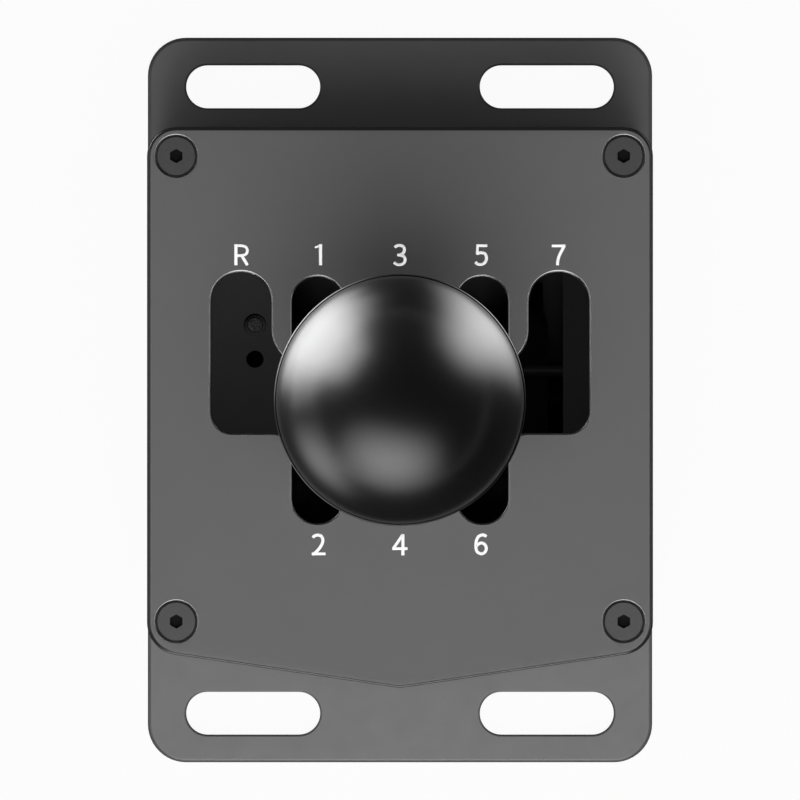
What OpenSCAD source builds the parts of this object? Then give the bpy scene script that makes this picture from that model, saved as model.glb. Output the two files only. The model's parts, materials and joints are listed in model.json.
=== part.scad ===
// Sim racing gear shifter: a seven speed H gate with reverse, on a slotted mounting plate.
// Z is up, X is to the driver's right and Y is away from the driver.
// The origin is the middle of the mounting plate's underside. Lengths are in millimetres.
// "Front" is the V shaped side that faces the driver, and "rear" is the side with the socket.

/* [Mounting plate] */
// Width of the mounting plate, left to right
plate_w = 103; // [101.5:0.5:130]
// Length of the mounting plate, front to rear
plate_l = 148; // [140:1:190]
// Thickness of the mounting plate
plate_t = 5; // [4:0.5:10]
// Corner radius of the mounting plate
plate_corner_r = 7.8; // [3:0.2:10]
// Width of each mounting slot
slot_w = 8.8; // [5:0.1:9.2]
// Overall length of each mounting slot
slot_len = 27.4; // [16:0.2:32]
// Distance between slot centres, left to right
slot_pitch_x = 60; // [50:1:64]
// Distance between slot centres, front to rear
slot_pitch_y = 128; // [126:1:130]

/* [Housing] */
// Height of the side plates
housing_h = 90; // [84:1:120]
// Thickness of the side plates
side_t = 10.5; // [9.5:0.1:11]
// Thickness of the front and rear covers
cover_t = 4; // [3:0.5:5]
// Width of each fixing lug on the covers
lug_w = 7; // [6:0.5:7.5]
// Distance that each lug reaches in from its cover
lug_reach = 8; // [7:0.5:9]
// Height of each lug
lug_h = 14; // [10:1:18]
// Height of the lower cover screws above the mounting plate
cover_screw_low = 14; // [10:1:18]
// Depth of the upper cover screws below the gate plate
cover_screw_drop = 22; // [20:1:28]
// Distance of the base screws in front of and behind the tilt axis
base_screw_y = 36; // [25:1:37]
// Distance that the housing's faces sit inside the gate plate's edge
gate_overhang = 0.6; // [0.3:0.1:1.2]

/* [Gate plate] */
// Width of the gate plate
gate_w = 101.2; // [100:0.2:103]
// Thickness of the gate plate
gate_t = 4; // [3:0.5:6]
// Distance from the tilt axis to the gate plate's rear edge
gate_rear = 54.6; // [54:0.2:58]
// Distance from the tilt axis to the corners where the V front starts
gate_shoulder = 50.1; // [49:0.1:52]
// Distance from the tilt axis to the tip of the V front
gate_tip = 57.6; // [55:0.1:58]
// Radius of the gate plate's rear corners
gate_rear_r = 5.8; // [3:0.1:8]
// Radius of the gate plate's front corners
gate_front_r = 6.5; // [3:0.1:8]
// Radius of the bend at the tip of the V front
gate_tip_r = 3; // [1:0.5:8]
// Distance of the gate screws from the rear edge and from the front corners
gate_screw_inset = 5.8; // [5.4:0.1:7]
// Width of the neutral channel
channel_w = 13.2; // [12:0.2:14]
// Radius of the neutral channel's outer front corners
channel_corner_r = 4.2; // [2:0.1:5]
// Width of the lanes for gears one to six
lane_w = 10.2; // [9.6:0.1:11]
// Distance between the lanes for gears one to six
lane_pitch = 16.5; // [15.5:0.1:17]
// Distance from the tilt axis to the centre of each lane's round end
lane_reach = 19.6; // [17:0.1:21]
// Width of the lanes for reverse and seventh gear
outer_lane_w = 12; // [10.5:0.1:12.5]
// Distance from the middle to the reverse and seventh lanes
outer_lane_x = 31.8; // [31:0.1:32.5]
// Radius of the flare from the outer lanes into the channel
flare_r = 7.4; // [5:0.1:9]
// Radius of the channel's front edge where it meets the second and sixth lanes
second_corner_r = 3.8; // [2:0.1:5]
// Radius of the tips of the fingers between the inner lanes
finger_tip_r = 2.6; // [1:0.1:2.9]

/* [Tilt frame] */
// Height of the tilt axes above the mounting plate
pivot_h = 19; // [18.5:0.5:22]
// Gap between the cradle and each side plate
cradle_gap = 9.5; // [8.5:0.5:10.5]
// Depth of the cradle, front to rear
cradle_l = 32; // [31:1:34]
// Thickness of the cradle's side walls
cradle_side_t = 8; // [7:0.5:9]
// Thickness of the cradle's front and rear walls
cradle_end_t = 6; // [5:0.5:6.5]
// Height of the cradle above the tilt axes
cradle_up = 8; // [7:0.5:9]
// Depth of the cradle below the tilt axes
cradle_down = 12; // [11.5:0.5:12.5]
// Width of the lever hub
hub_w = 14; // [12:0.5:18]
// Height of the lever hub above the tilt axes
hub_up = 16; // [14:0.5:18]
// Width of the hub's spring lug
hub_lug_w = 10; // [7:0.5:11]
// Bore of the bearings and diameter of both tilt shafts
shaft_d = 8; // [7:0.5:8.5]
// Outer diameter of the tilt shaft bearings
bearing_d = 16; // [14:0.5:17]
// Width of the tilt shaft bearings
bearing_w = 5; // [4:0.5:5.5]
// Number of balls in each bearing
ball_count = 9; // [7:1:10]
// Thickness of the round bearing caps
cap_t = 2; // [1.5:0.1:2.5]
// Wall of the bushes that carry the select pin
bush_wall = 1; // [0.8:0.1:1.5]

/* [Detent] */
// Radius of the two notched cams
cam_r = 24; // [23:0.5:25]
// Thickness of each cam
cam_t = 6; // [5:0.5:7]
// Diameter of the plungers' round noses
nose_d = 6; // [5:0.2:6.4]
// Diameter of the plungers' bodies
plunger_d = 8; // [7.5:0.1:9]
// Travel of the plungers into the notches
plunger_travel = 1.6; // [1:0.1:1.8]
// Depth of the detent housing, front to rear
detent_l = 18; // [17:0.5:20]
// Height of the detent housing above the mounting plate
detent_h = 31; // [28:0.5:35]

/* [Lever and knob] */
// Diameter of the lever's core rod
core_d = 6; // [5:0.1:6.2]
// Outer diameter of the lever's sliding sleeve
sleeve_d = 8.6; // [8.2:0.1:9]
// Distance that the knob is pressed down to reach reverse
press_travel = 8; // [6:0.5:9]
// Height of the lock-out collar
collar_h = 5; // [4:0.5:6]
// Width of the lock-out collar
collar_w = 16; // [14:0.5:17]
// Depth of the lock-out collar, front to rear
collar_l = 20; // [18:0.5:22]
// Gap between the lock-out collar and the gate plate
collar_drop = 4; // [3.5:0.5:5]
// Distance that the sleeve reaches below the lock-out collar
sleeve_tail = 19; // [17:0.5:21]
// Height of the knob's seam above the gate plate
knob_rise = 78; // [65:1:110]
// Diameter of the knob
knob_d = 49.5; // [42:0.5:56]
// Step between the knob's rim and its cap
knob_step = 0.4; // [0.2:0.1:1]
// Distance that the knob's neck reaches below its ball
neck_below = 1.25; // [0.5:0.25:6]
// Diameter of the knob's neck
neck_d = 20; // [16:0.5:24]
// Height of the lock nut
nut_h = 5; // [4:0.5:8]
// Width of the lock nut across its flats
nut_w = 13; // [12:0.5:17]

/* [Inner fittings] */
// Height of the left shelf and the right ledge above the tilt axes
shelf_rise = 28; // [27:0.5:32]
// Thickness of the left shelf and the right ledge
shelf_t = 8; // [7:0.5:8.5]
// Distance that the left shelf reaches in from the side plate
shelf_reach = 15.5; // [14:0.5:17]
// Distance that the right ledge reaches in from the side plate
ledge_reach = 6.5; // [6:0.5:8]
// Length of the shelf and the ledge, front to rear
shelf_l = 42; // [38:1:46]
// Distance that the shelf's middle lies behind the tilt axis
shelf_y = 9; // [8:0.5:12]
// Gap between the circuit board and the rear cover's lugs
board_side_gap = 2.4; // [1:0.2:5]
// Height of the circuit board
board_h = 34; // [30:1:38]
// Length of the circuit board's stand-offs
standoff_l = 6; // [5:0.5:7]
// Width of the cable socket
socket_w = 15; // [13:0.5:18]
// Height of the cable socket
socket_h = 13; // [12:0.5:15]

/* [Fits] */
// Gap round a piece that is fixed in its hole
fit = 0.05; // [0.02:0.01:0.08]
// Gap round a piece that turns or slides
running = 0.1; // [0.05:0.01:0.15]
// Gap between the detent cams and the plungers' noses as drawn
nose_gap = 0.2; // [0.15:0.05:0.3]
// Gap between a spring's end and its seat
seat_gap = 0.2; // [0.1:0.05:0.3]
// Gap between a cover and the side plates
panel_gap = 0.1; // [0.05:0.05:0.3]
// Gap between the rear cover's lugs and the detent housing
lug_gap = 0.4; // [0.2:0.1:1]

/* [Hidden] */
$fn = 64;

// Colours of the finishes
plate_black = [0.27, 0.27, 0.28];
anodised_grey = [0.36, 0.36, 0.37];
screw_black = [0.22, 0.22, 0.23];
bright_steel = [0.72, 0.73, 0.75];
spring_steel = [0.55, 0.56, 0.58];
cradle_black = [0.14, 0.14, 0.15];
bronze = [0.66, 0.48, 0.26];
brass = [0.78, 0.62, 0.30];
board_black = [0.03, 0.09, 0.07];
chip_black = [0.08, 0.08, 0.09];
knob_black = [0.05, 0.05, 0.055];

// Levels and planes of the housing
pivot_z = plate_t + pivot_h;
gate_z = plate_t + housing_h;
gate_top = gate_z + gate_t;
gate_half = gate_w / 2;
body_half = gate_half - gate_overhang;
side_in = body_half - side_t;
side_mid = body_half - side_t / 2;
panel_half = side_in - panel_gap;
rear_face = gate_rear - gate_overhang;
rear_cover_in = rear_face - cover_t;
lug_x = panel_half - lug_w;
gate_reach = gate_top - pivot_z;

// Screw sizes: thread, head and key widths
m2_d = 2;
m3_d = 3;
m3_head = 6;
m3_key = 2;
m4_d = 4;
m4_head = 8;
m4_key = 2.5;
m5_d = 5;
m5_head = 9.2;
m5_key = 3;
head_clear = 0.2;
cover_screw_l = 16;
gate_screw_l = 14;
base_screw_l = 16;

// Places of the fixings
gate_screw_rear_y = gate_rear - gate_screw_inset;
gate_screw_front_y = -gate_shoulder + gate_screw_inset;
cover_screw_z = [plate_t + cover_screw_low, gate_z - cover_screw_drop];
front_panel_in = front_y(panel_half, gate_overhang) + cover_t;
front_screw_y = front_panel_in + lug_reach / 2;
rear_screw_y = rear_cover_in - lug_reach / 2;
shelf_top = pivot_z + shelf_rise;
shelf_mid_z = shelf_top - shelf_t / 2;
shelf_screw_y = [shelf_y - shelf_l / 4 - 2, shelf_y + shelf_l / 4 + 3];

// Tilt angles at which the lever reaches the lanes
shift_angle = atan(lane_reach / gate_reach);
select_angle = atan(lane_pitch * (1 + cos(shift_angle)) / 2 / gate_reach);

// Bearings and what stands outboard of them
ring_wall = (bearing_d - shaft_d) * 0.14;
ball_d = (bearing_d - shaft_d) / 2 - 2 * ring_wall - 2 * fit;
ball_circle_r = (bearing_d + shaft_d) / 4;
shoulder_t = 1;
pocket_d = bearing_d - 1;
cap_screw_r = bearing_d / 2 + 2;
cap_d = 2 * (cap_screw_r + 3);
cap_screw_d = 2.5;
cap_screw_head = 4.4;
cap_screw_l = 6;
bearing_back = side_in + bearing_w;
shaft_end = bearing_back + shoulder_t - running;
magnet_d = 5;
magnet_t = 2.5;
sensor_t = 1;
sensor_chip_t = 0.7;
cradle_half = side_in - cradle_gap;
cradle_in = cradle_half - cradle_side_t;
cradle_end = cradle_l / 2;
boss_wall = 1.5;
boss_d = shaft_d + 2 * boss_wall;

// Detent cams, plungers and their housing
cam_x = cradle_half - cradle_side_t / 2;
cam_span = 28;
notch_clear = 0.3;
notch_r = nose_d / 2 + notch_clear;
nose_y = cam_r + nose_gap + nose_d / 2;
notch_centre_r = nose_y - nose_gap - plunger_travel;
detent_y = cam_r + 4;
detent_back = detent_y + detent_l;
detent_lip = 2;
plunger_front = detent_y + detent_lip + plunger_travel + running;
plunger_back = plunger_front + 4.6;
plunger_hole_l = 3;
adjuster_l = 4;
adjuster_key = 4;
detent_bore = plunger_d + 2 * running;
detent_half_w = lug_x - lug_gap;
detent_screw_x = 12;
detent_screw_y = detent_y + detent_l / 2;

// Lever, lock-out and knob
collar_top = gate_z - collar_drop;
collar_z = collar_top - collar_h;
sleeve_bottom = collar_z - sleeve_tail;
sleeve_bore = core_d + 2 * running;
knob_z = gate_top + knob_rise;
neck_drop = knob_d / 2 + neck_below;
knob_bottom = knob_z - neck_drop;
sleeve_top = knob_z - 7;
core_top = sleeve_top - press_travel - 6;
insert_d = sleeve_d + 3.4;
core_foot_d = 8;
core_foot_l = 10;
spring_seat_d = 12;
spring_seat_t = 2;
hub_top = pivot_z + hub_up;
spring_seat_z = hub_top + spring_seat_t;
pin_z = sleeve_bottom + 5;
pin_slot_w = m2_d + 2 * running;

// The collar's upper left corner with the lever in the first and second gear lane
collar_arm = collar_top - pivot_z;
stop_x = collar_arm * sin(select_angle) + collar_w / 2 * cos(select_angle) + 0.4;
collar_corner_z = pivot_z + collar_arm * cos(select_angle) - collar_w / 2 * sin(select_angle);
stop_bottom = collar_corner_z - press_travel + 1.7;
stop_w = 10;
stop_l = 13;
stop_y = -channel_w / 2 - 0.4;
stop_screw_y = [stop_y - 3.2, stop_y - stop_l + 3.2];
stop_screw_head_h = 3;
stop_screw_head_d = 5.5;
stop_thread_l = 3;

// Hub, select pin and its sensor
bush_flange_t = 1;
hub_half_l = cradle_end - cradle_end_t - bush_flange_t - running;
hub_down = 6;
centring_z = pivot_z - (hub_down + cradle_down) / 2;
centring_wire = 0.7;
centring_r = 2.3;
centring_turns = 9;
spring_pocket = 2;
spring_pocket_d = 2 * centring_r + centring_wire + 2 * running;
pin_front = cradle_end + 2;
pin_rear = cradle_end + 0.5;
sensor_post_x = 8;
sensor_post_l = 6;
sensor_post_d = 4;
sensor_thread_l = 2.5;
select_board_w = 22;
select_board_h = 12;
clamp_screw_l = 5;

// Circuit board and socket
board_w = 2 * (lug_x - board_side_gap);
board_t = 1.6;
board_back = rear_cover_in - standoff_l;
board_front = board_back - board_t;
board_z = gate_z - 12 - board_h;
board_hole_x = board_w / 2 - 3.5;
board_hole_z = [board_z + 3.5, board_z + board_h - 3.5];
standoff_w = 5;
chip_w = 10;
chip_t = 1.2;
plug_w = 8;
plug_h = 4.5;
plug_depth = 5;
plug_up = 8;
plug_x = board_hole_x - plug_w;
small_part_w = 1.6;
small_part_h = 3;
small_part_t = 0.8;
board_screw_d = 2.5;
socket_x = -12;
socket_z = board_z + board_h / 2;
socket_hole_w = 11;
socket_hole_h = 7;
socket_key_w = 6;
socket_key_h = 2;
socket_depth = 8;

// Photographed holes in the left shelf
shelf_hole_in = 10.2;
shelf_bolt_x = shelf_hole_in - side_in;
shelf_bolt_y = 15.2;
shelf_hole_y = 8.2;
shelf_hole_d = 3.4;
shelf_bolt_ring = 4.4;
shelf_bolt_recess = 2;
shelf_bolt_sunk = 0.4;
post_d = 2.4;
set_key = 1.5;
post_y = 5.8;
post_reach = 8;
post_seat = 4;

// Distance of the V front from the tilt axis, at x, for an outline that is inset
function front_y(x, inset) =
    -(gate_tip - inset) + (gate_tip - gate_shoulder) * abs(x) / (gate_half - inset);

function unit(v) = v / norm(v);
function half_corner(p, a, b) = acos(unit(a - p) * unit(b - p)) / 2;
function tangent_point(p, a, b, r) = p + unit(a - p) * r / tan(half_corner(p, a, b));
function arc_centre(p, a, b, r) =
    p + unit(unit(a - p) + unit(b - p)) * r / sin(half_corner(p, a, b));

// A convex outline with a true arc at each corner
module rounded_outline(points, radii) {
    n = len(points);
    polygon([for (i = [0:n - 1], end = [0, 1])
        let (before = points[(i + n - 1) % n], after = points[(i + 1) % n])
        tangent_point(points[i], end == 0 ? before : after, end == 0 ? after : before, radii[i])]);
    for (i = [0:n - 1])
        translate(arc_centre(points[i], points[(i + n - 1) % n], points[(i + 1) % n], radii[i]))
            circle(radii[i]);
}

// A slot along X with round ends
module slot(length, width) {
    square([length - width, width], center = true);
    for (side = [-1, 1])
        translate([side * (length - width) / 2, 0]) circle(d = width);
}

// The area outside a rounded corner, for a corner of solid that lies towards dx and dy
module corner_relief(x, y, dx, dy, r) {
    translate([x, y]) difference() {
        polygon([[0, 0], [dx * r, 0], [dx * r, dy * r], [0, dy * r]]);
        translate([dx * r, dy * r]) circle(r);
    }
}

// A countersunk screw with a hexagon socket, its head's top at the origin, pointing down
module flat_screw(d, head, length, key) {
    rim = 0.25;
    cone = (head - d) / 2;
    difference() {
        rotate_extrude() polygon([[0, -length], [d / 2, -length], [d / 2, -cone - rim],
            [head / 2, -rim], [head / 2, 0], [0, 0]]);
        translate([0, 0, -cone]) cylinder(h = cone + 1, d = key / cos(30), $fn = 6);
    }
}

// The hole for that screw: a clear hole and a countersink
module flat_screw_hole(d, head, length) {
    rim = 0.25 + head_clear;
    cone = (head - d) / 2;
    rotate_extrude() polygon([[0, -length], [d / 2 + fit, -length], [d / 2 + fit, -cone - rim],
        [head / 2 + head_clear, -rim], [head / 2 + head_clear, 1], [0, 1]]);
}

// A screw with a round head, its head's underside at the origin, pointing down
module cap_screw(d, head, head_h, length, key) {
    difference() {
        union() {
            translate([0, 0, -length]) cylinder(h = length + head_h / 2, d = d);
            cylinder(h = head_h, d = head);
        }
        translate([0, 0, head_h / 2]) cylinder(h = head_h, d = key / cos(30), $fn = 6);
    }
}

// A screw without a head, standing on the origin, with its hexagon socket in the lower end
module set_screw(d, length, key) {
    difference() {
        cylinder(h = length, d = d);
        translate([0, 0, -1]) cylinder(h = 2.5, d = key / cos(30), $fn = 6);
    }
}

// Points the children's Z along X, away from the middle, on the side given by 1 or -1
module facing_side(side) {
    rotate([0, side * 90, 0]) children();
}

// Mounting plate, side plates and covers

module mounting_plate() {
    half_w = plate_w / 2;
    half_l = plate_l / 2;
    corners = [[half_w, half_l], [-half_w, half_l], [-half_w, -half_l], [half_w, -half_l]];
    color(plate_black) difference() {
        linear_extrude(plate_t)
            rounded_outline(corners, [for (i = [0:3]) plate_corner_r]);
        for (x = [-1, 1], y = [-1, 1])
            translate([x * slot_pitch_x / 2, y * slot_pitch_y / 2, -1])
                linear_extrude(plate_t + 2) slot(slot_len, slot_w);
        for (x = [-1, 1], y = [-1, 1])
            translate([x * side_mid, y * base_screw_y, 0])
                rotate([180, 0, 0]) flat_screw_hole(m5_d, m5_head, plate_t + 1);
        for (x = [-1, 1])
            translate([x * detent_screw_x, detent_screw_y, 0])
                rotate([180, 0, 0]) flat_screw_hole(m4_d, m4_head, plate_t + 1);
    }
}

// The gate plate's outline, or the housing's outline where an inset is given
module body_outline(inset) {
    half = gate_half - inset;
    rounded_outline(
        [[half, gate_rear - inset], [-half, gate_rear - inset], [-half, inset - gate_shoulder],
            [0, inset - gate_tip], [half, inset - gate_shoulder]],
        [gate_rear_r, gate_rear_r, gate_front_r, gate_tip_r, gate_front_r]);
}

// The right side plate; the left one is its mirror image
module side_plate() {
    difference() {
        translate([0, 0, plate_t]) linear_extrude(housing_h) intersection() {
            body_outline(gate_overhang);
            translate([side_in, -gate_tip]) square([side_t + 1, gate_tip + gate_rear]);
        }
        for (y = [gate_screw_front_y, gate_screw_rear_y])
            translate([side_mid, y, gate_top - gate_screw_l - 1])
                cylinder(h = gate_screw_l + 2, d = m4_d + 2 * fit);
        for (y = [-base_screw_y, base_screw_y])
            translate([side_mid, y, -1])
                cylinder(h = base_screw_l + 2, d = m5_d + 2 * fit);
        for (y = [front_screw_y, rear_screw_y], z = cover_screw_z)
            translate([body_half, y, z])
                facing_side(1) flat_screw_hole(m3_d, m3_head, side_t + 1);
        for (y = shelf_screw_y)
            translate([body_half, y, shelf_mid_z])
                facing_side(1) flat_screw_hole(m3_d, m3_head, side_t + 1);
        translate([side_in - 1, 0, pivot_z]) facing_side(1) {
            cylinder(h = bearing_w + 1, d = bearing_d + 2 * fit);
            cylinder(h = side_t + 2, d = bearing_d - 4);
        }
        translate([bearing_back + shoulder_t, 0, pivot_z])
            facing_side(1) cylinder(h = side_t, d = pocket_d);
        translate([body_half - cap_t, 0, pivot_z])
            facing_side(1) cylinder(h = cap_t + 1, d = cap_d + 2 * fit);
        cap_screw_places()
            translate([0, 0, -cap_screw_l - 0.5]) cylinder(h = cap_screw_l, d = cap_screw_d + 2 * fit);
    }
}

module left_side_plate() {
    color(anodised_grey) mirror([1, 0, 0]) side_plate();
}

module right_side_plate() {
    color(anodised_grey) side_plate();
}

// The two lugs at each end of a cover, with their threaded holes; y is the cover's inner face
module cover_lugs(y, towards) {
    root = cover_t / 2;
    for (side = [-1, 1], z = cover_screw_z)
        difference() {
            translate([side * (lug_x + lug_w / 2), y + towards * (lug_reach - root) / 2, z])
                cube([lug_w, lug_reach + root, lug_h], center = true);
            translate([side * (panel_half + 1), y + towards * lug_reach / 2, z])
                rotate([0, -side * 90, 0]) cylinder(h = lug_w + 2, d = m3_d + 2 * fit);
        }
}

module front_cover() {
    inset = gate_overhang;
    edge = front_y(panel_half, inset);
    tip = inset - gate_tip;
    color(anodised_grey) {
        translate([0, 0, plate_t]) linear_extrude(housing_h)
            polygon([[-panel_half, edge], [0, tip], [panel_half, edge],
                [panel_half, edge + cover_t], [0, tip + cover_t], [-panel_half, edge + cover_t]]);
        cover_lugs(front_panel_in, 1);
    }
}

module rear_cover() {
    color(anodised_grey) {
        difference() {
            translate([-panel_half, rear_cover_in, plate_t])
                cube([2 * panel_half, cover_t, housing_h]);
            for (x = [-1, 1])
                translate([x * cam_x, rear_cover_in - 1, pivot_z])
                    rotate([-90, 0, 0]) cylinder(h = cover_t + 2, d = adjuster_key + 3);
            translate([socket_x, rear_cover_in, socket_z])
                cube([socket_w + 2 * running, 4 * cover_t, socket_h + 2 * running], center = true);
            for (x = [-1, 1], z = board_hole_z)
                translate([x * board_hole_x, rear_face, z])
                    rotate([-90, 0, 0]) flat_screw_hole(board_screw_d, cap_screw_head, cover_t + 1);
        }
        cover_lugs(rear_cover_in, -1);
    }
}

// Gate plate

// The R and seventh lanes run away from the driver only
module gate_cut() {
    half_channel = channel_w / 2;
    outer_edge = outer_lane_x + outer_lane_w / 2;
    inner_edge = outer_lane_x - outer_lane_w / 2;
    r = channel_corner_r;
    translate([-outer_edge, r - half_channel]) square([2 * outer_edge, channel_w - r]);
    translate([r - outer_edge, -half_channel]) square([2 * (outer_edge - r), channel_w]);
    for (side = [-1, 1]) {
        translate([side * (outer_edge - r), r - half_channel]) circle(r);
        translate([side * outer_lane_x - outer_lane_w / 2, 0])
            square([outer_lane_w, lane_reach]);
        translate([side * outer_lane_x, lane_reach]) circle(d = outer_lane_w);
        corner_relief(side * inner_edge, half_channel, -side, 1, flare_r);
        corner_relief(side * (lane_pitch + lane_w / 2), -half_channel, side, -1, second_corner_r);
    }
    for (x = [-lane_pitch, 0, lane_pitch])
        translate([x, 0]) rotate(90) slot(2 * lane_reach + lane_w, lane_w);
    for (side = [-1, 1], dy = [-1, 1]) {
        corner_relief(side * lane_w / 2, dy * half_channel, side, dy, finger_tip_r);
        corner_relief(side * (lane_pitch - lane_w / 2), dy * half_channel, -side, dy, finger_tip_r);
    }
}

module gate_screw_places() {
    for (x = [-1, 1], y = [gate_screw_front_y, gate_screw_rear_y])
        translate([x * side_mid, y, gate_top]) children();
}

module gate_plate() {
    color(anodised_grey) difference() {
        translate([0, 0, gate_z]) linear_extrude(gate_t) difference() {
            body_outline(0);
            gate_cut();
        }
        gate_screw_places() flat_screw_hole(m4_d, m4_head, gate_t + 1);
        for (y = stop_screw_y)
            translate([-stop_x - stop_w / 2, y, gate_z - 1])
                cylinder(h = stop_thread_l + 1, d = m3_d + 2 * fit);
    }
}

// Fixings of the housing

module gate_screws() {
    color(screw_black) gate_screw_places()
        flat_screw(m4_d, m4_head, gate_screw_l, m4_key);
}

module base_screws() {
    color(screw_black) for (x = [-1, 1], y = [-1, 1])
        translate([x * side_mid, y * base_screw_y, 0])
            rotate([180, 0, 0]) flat_screw(m5_d, m5_head, base_screw_l, m5_key);
}

module cover_screws() {
    color(screw_black) for (side = [-1, 1], y = [front_screw_y, rear_screw_y], z = cover_screw_z)
        translate([side * body_half, y, z])
            facing_side(side) flat_screw(m3_d, m3_head, cover_screw_l, m3_key);
}

module shelf_screws() {
    color(screw_black) for (side = [-1, 1], y = shelf_screw_y)
        translate([side * body_half, y, shelf_mid_z])
            facing_side(side) flat_screw(m3_d, m3_head, side_t + ledge_reach - 1.5, m3_key);
}

// Bearings of the shift axis and the round caps over them

// Places of the right cap's three screws, with Z pointing out
module cap_screw_places() {
    for (turn = [90, 210, 330])
        translate([body_half, cap_screw_r * cos(turn), pivot_z + cap_screw_r * sin(turn)])
            facing_side(1) children();
}

module bearing_cap() {
    difference() {
        translate([body_half - cap_t, 0, pivot_z]) facing_side(1) cylinder(h = cap_t, d = cap_d);
        cap_screw_places() flat_screw_hole(cap_screw_d, cap_screw_head, cap_t + 1);
    }
}

module left_bearing_cap() {
    color(anodised_grey) mirror([1, 0, 0]) bearing_cap();
}

module right_bearing_cap() {
    color(anodised_grey) bearing_cap();
}

module bearing_cap_screws() {
    color(screw_black) for (side = [0, 1]) mirror([side, 0, 0])
        cap_screw_places() flat_screw(cap_screw_d, cap_screw_head, cap_screw_l, 1.5);
}

module bearing_outer_rings() {
    color(bright_steel) for (side = [-1, 1])
        translate([side * side_in, 0, pivot_z]) facing_side(side)
            ring(bearing_d / 2 - ring_wall, bearing_d / 2);
}

module bearing_inner_rings() {
    color(bright_steel) for (side = [-1, 1])
        translate([side * side_in, 0, pivot_z]) facing_side(side)
            ring(shaft_d / 2 + fit, shaft_d / 2 + ring_wall);
}

module ring(inner, outer) {
    rotate_extrude() translate([inner, 0]) square([outer - inner, bearing_w]);
}

module bearing_balls() {
    color(bright_steel) for (side = [-1, 1], i = [0:ball_count - 1])
        translate([side * side_in, 0, pivot_z]) facing_side(side)
            rotate(i * 360 / ball_count)
                translate([ball_circle_r, 0, bearing_w / 2]) sphere(d = ball_d, $fn = 24);
}

module shift_sensor_board() {
    color(board_black) translate([cap_t + sensor_t - body_half, 0, pivot_z]) facing_side(-1) {
        cylinder(h = sensor_t, d = pocket_d - 2 * running);
        translate([-2, -1.5, -sensor_chip_t]) cube([4, 3, sensor_chip_t]);
    }
}

// Reverse lock-out stop under the gate plate

module reverse_stop() {
    color(screw_black) difference() {
        translate([-stop_x - stop_w, stop_y - stop_l, stop_bottom])
            cube([stop_w, stop_l, gate_z - stop_bottom]);
        for (y = stop_screw_y)
            translate([-stop_x - stop_w / 2, y, stop_bottom - 1]) {
                cylinder(h = gate_z, d = m3_d + 2 * fit);
                cylinder(h = stop_screw_head_h + 1.5, d = stop_screw_head_d + 2 * fit);
            }
    }
}

module reverse_stop_screws() {
    head_z = stop_bottom + stop_screw_head_h + 0.5;
    color(bright_steel) for (y = stop_screw_y)
        translate([-stop_x - stop_w / 2, y, head_z])
            rotate([180, 0, 0]) cap_screw(m3_d, stop_screw_head_d, stop_screw_head_h,
                gate_z + stop_thread_l - head_z - 0.3, m4_key);
}

// Shelf, ledge and post that show through the outer lanes

module left_shelf() {
    color(anodised_grey) difference() {
        translate([-side_in, shelf_y - shelf_l / 2, shelf_top - shelf_t])
            cube([shelf_reach, shelf_l, shelf_t]);
        translate([shelf_bolt_x, shelf_bolt_y, shelf_top - shelf_t - 1]) {
            cylinder(h = shelf_t + 2, d = m3_d + 2 * fit);
            translate([0, 0, shelf_t + 1 - shelf_bolt_recess])
                cylinder(h = shelf_bolt_recess + 1, d = shelf_bolt_ring);
        }
        translate([shelf_bolt_x, shelf_hole_y, shelf_top - shelf_t - 1])
            cylinder(h = shelf_t + 2, d = shelf_hole_d);
        shelf_thread_holes(-1);
    }
}

module shelf_thread_holes(side) {
    for (y = shelf_screw_y)
        translate([side * (side_in + 1), y, shelf_mid_z])
            rotate([0, -side * 90, 0]) cylinder(h = ledge_reach, d = m3_d + 2 * fit);
}

module left_shelf_bolt() {
    color(spring_steel) translate([shelf_bolt_x, shelf_bolt_y, shelf_top - shelf_t + shelf_bolt_sunk])
        set_screw(m3_d, shelf_t - 2 * shelf_bolt_sunk, set_key);
}

module right_ledge() {
    color(anodised_grey) difference() {
        translate([side_in - ledge_reach, shelf_y - shelf_l / 2, shelf_top - shelf_t])
            cube([ledge_reach, shelf_l, shelf_t]);
        shelf_thread_holes(1);
        translate([side_in - ledge_reach + post_seat, post_y, shelf_mid_z])
            rotate([0, -90, 0]) cylinder(h = post_seat + 1, d = post_d + 2 * fit);
    }
}

module wire_post() {
    color(screw_black) translate([side_in - ledge_reach + post_seat, post_y, shelf_mid_z])
        rotate([0, -90, 0]) cylinder(h = post_seat + post_reach, d = post_d);
}

// Detent housing, plungers, springs and adjusters

module along_y(y) {
    for (x = [-1, 1]) translate([x * cam_x, y, pivot_z]) rotate([-90, 0, 0]) children();
}

module detent_housing() {
    color(cradle_black) difference() {
        translate([-detent_half_w, detent_y, plate_t])
            cube([2 * detent_half_w, detent_l, detent_h]);
        along_y(detent_y - 1) cylinder(h = detent_l, d = nose_d + 2 * running);
        along_y(detent_y + detent_lip) cylinder(h = detent_l, d = detent_bore);
        for (x = [-1, 1])
            translate([x * detent_screw_x, detent_screw_y, plate_t - 1])
                cylinder(h = gate_screw_l - plate_t + 2, d = m4_d + 2 * fit);
    }
}

module detent_housing_screws() {
    color(screw_black) for (x = [-1, 1])
        translate([x * detent_screw_x, detent_screw_y, 0])
            rotate([180, 0, 0]) flat_screw(m4_d, m4_head, gate_screw_l, m4_key);
}

module detent_adjusters() {
    color(screw_black) along_y(detent_back - adjuster_l) difference() {
        cylinder(h = adjuster_l, d = detent_bore - 2 * fit);
        translate([0, 0, adjuster_l / 2]) cylinder(h = adjuster_l, d = adjuster_key / cos(30), $fn = 6);
    }
}

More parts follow.
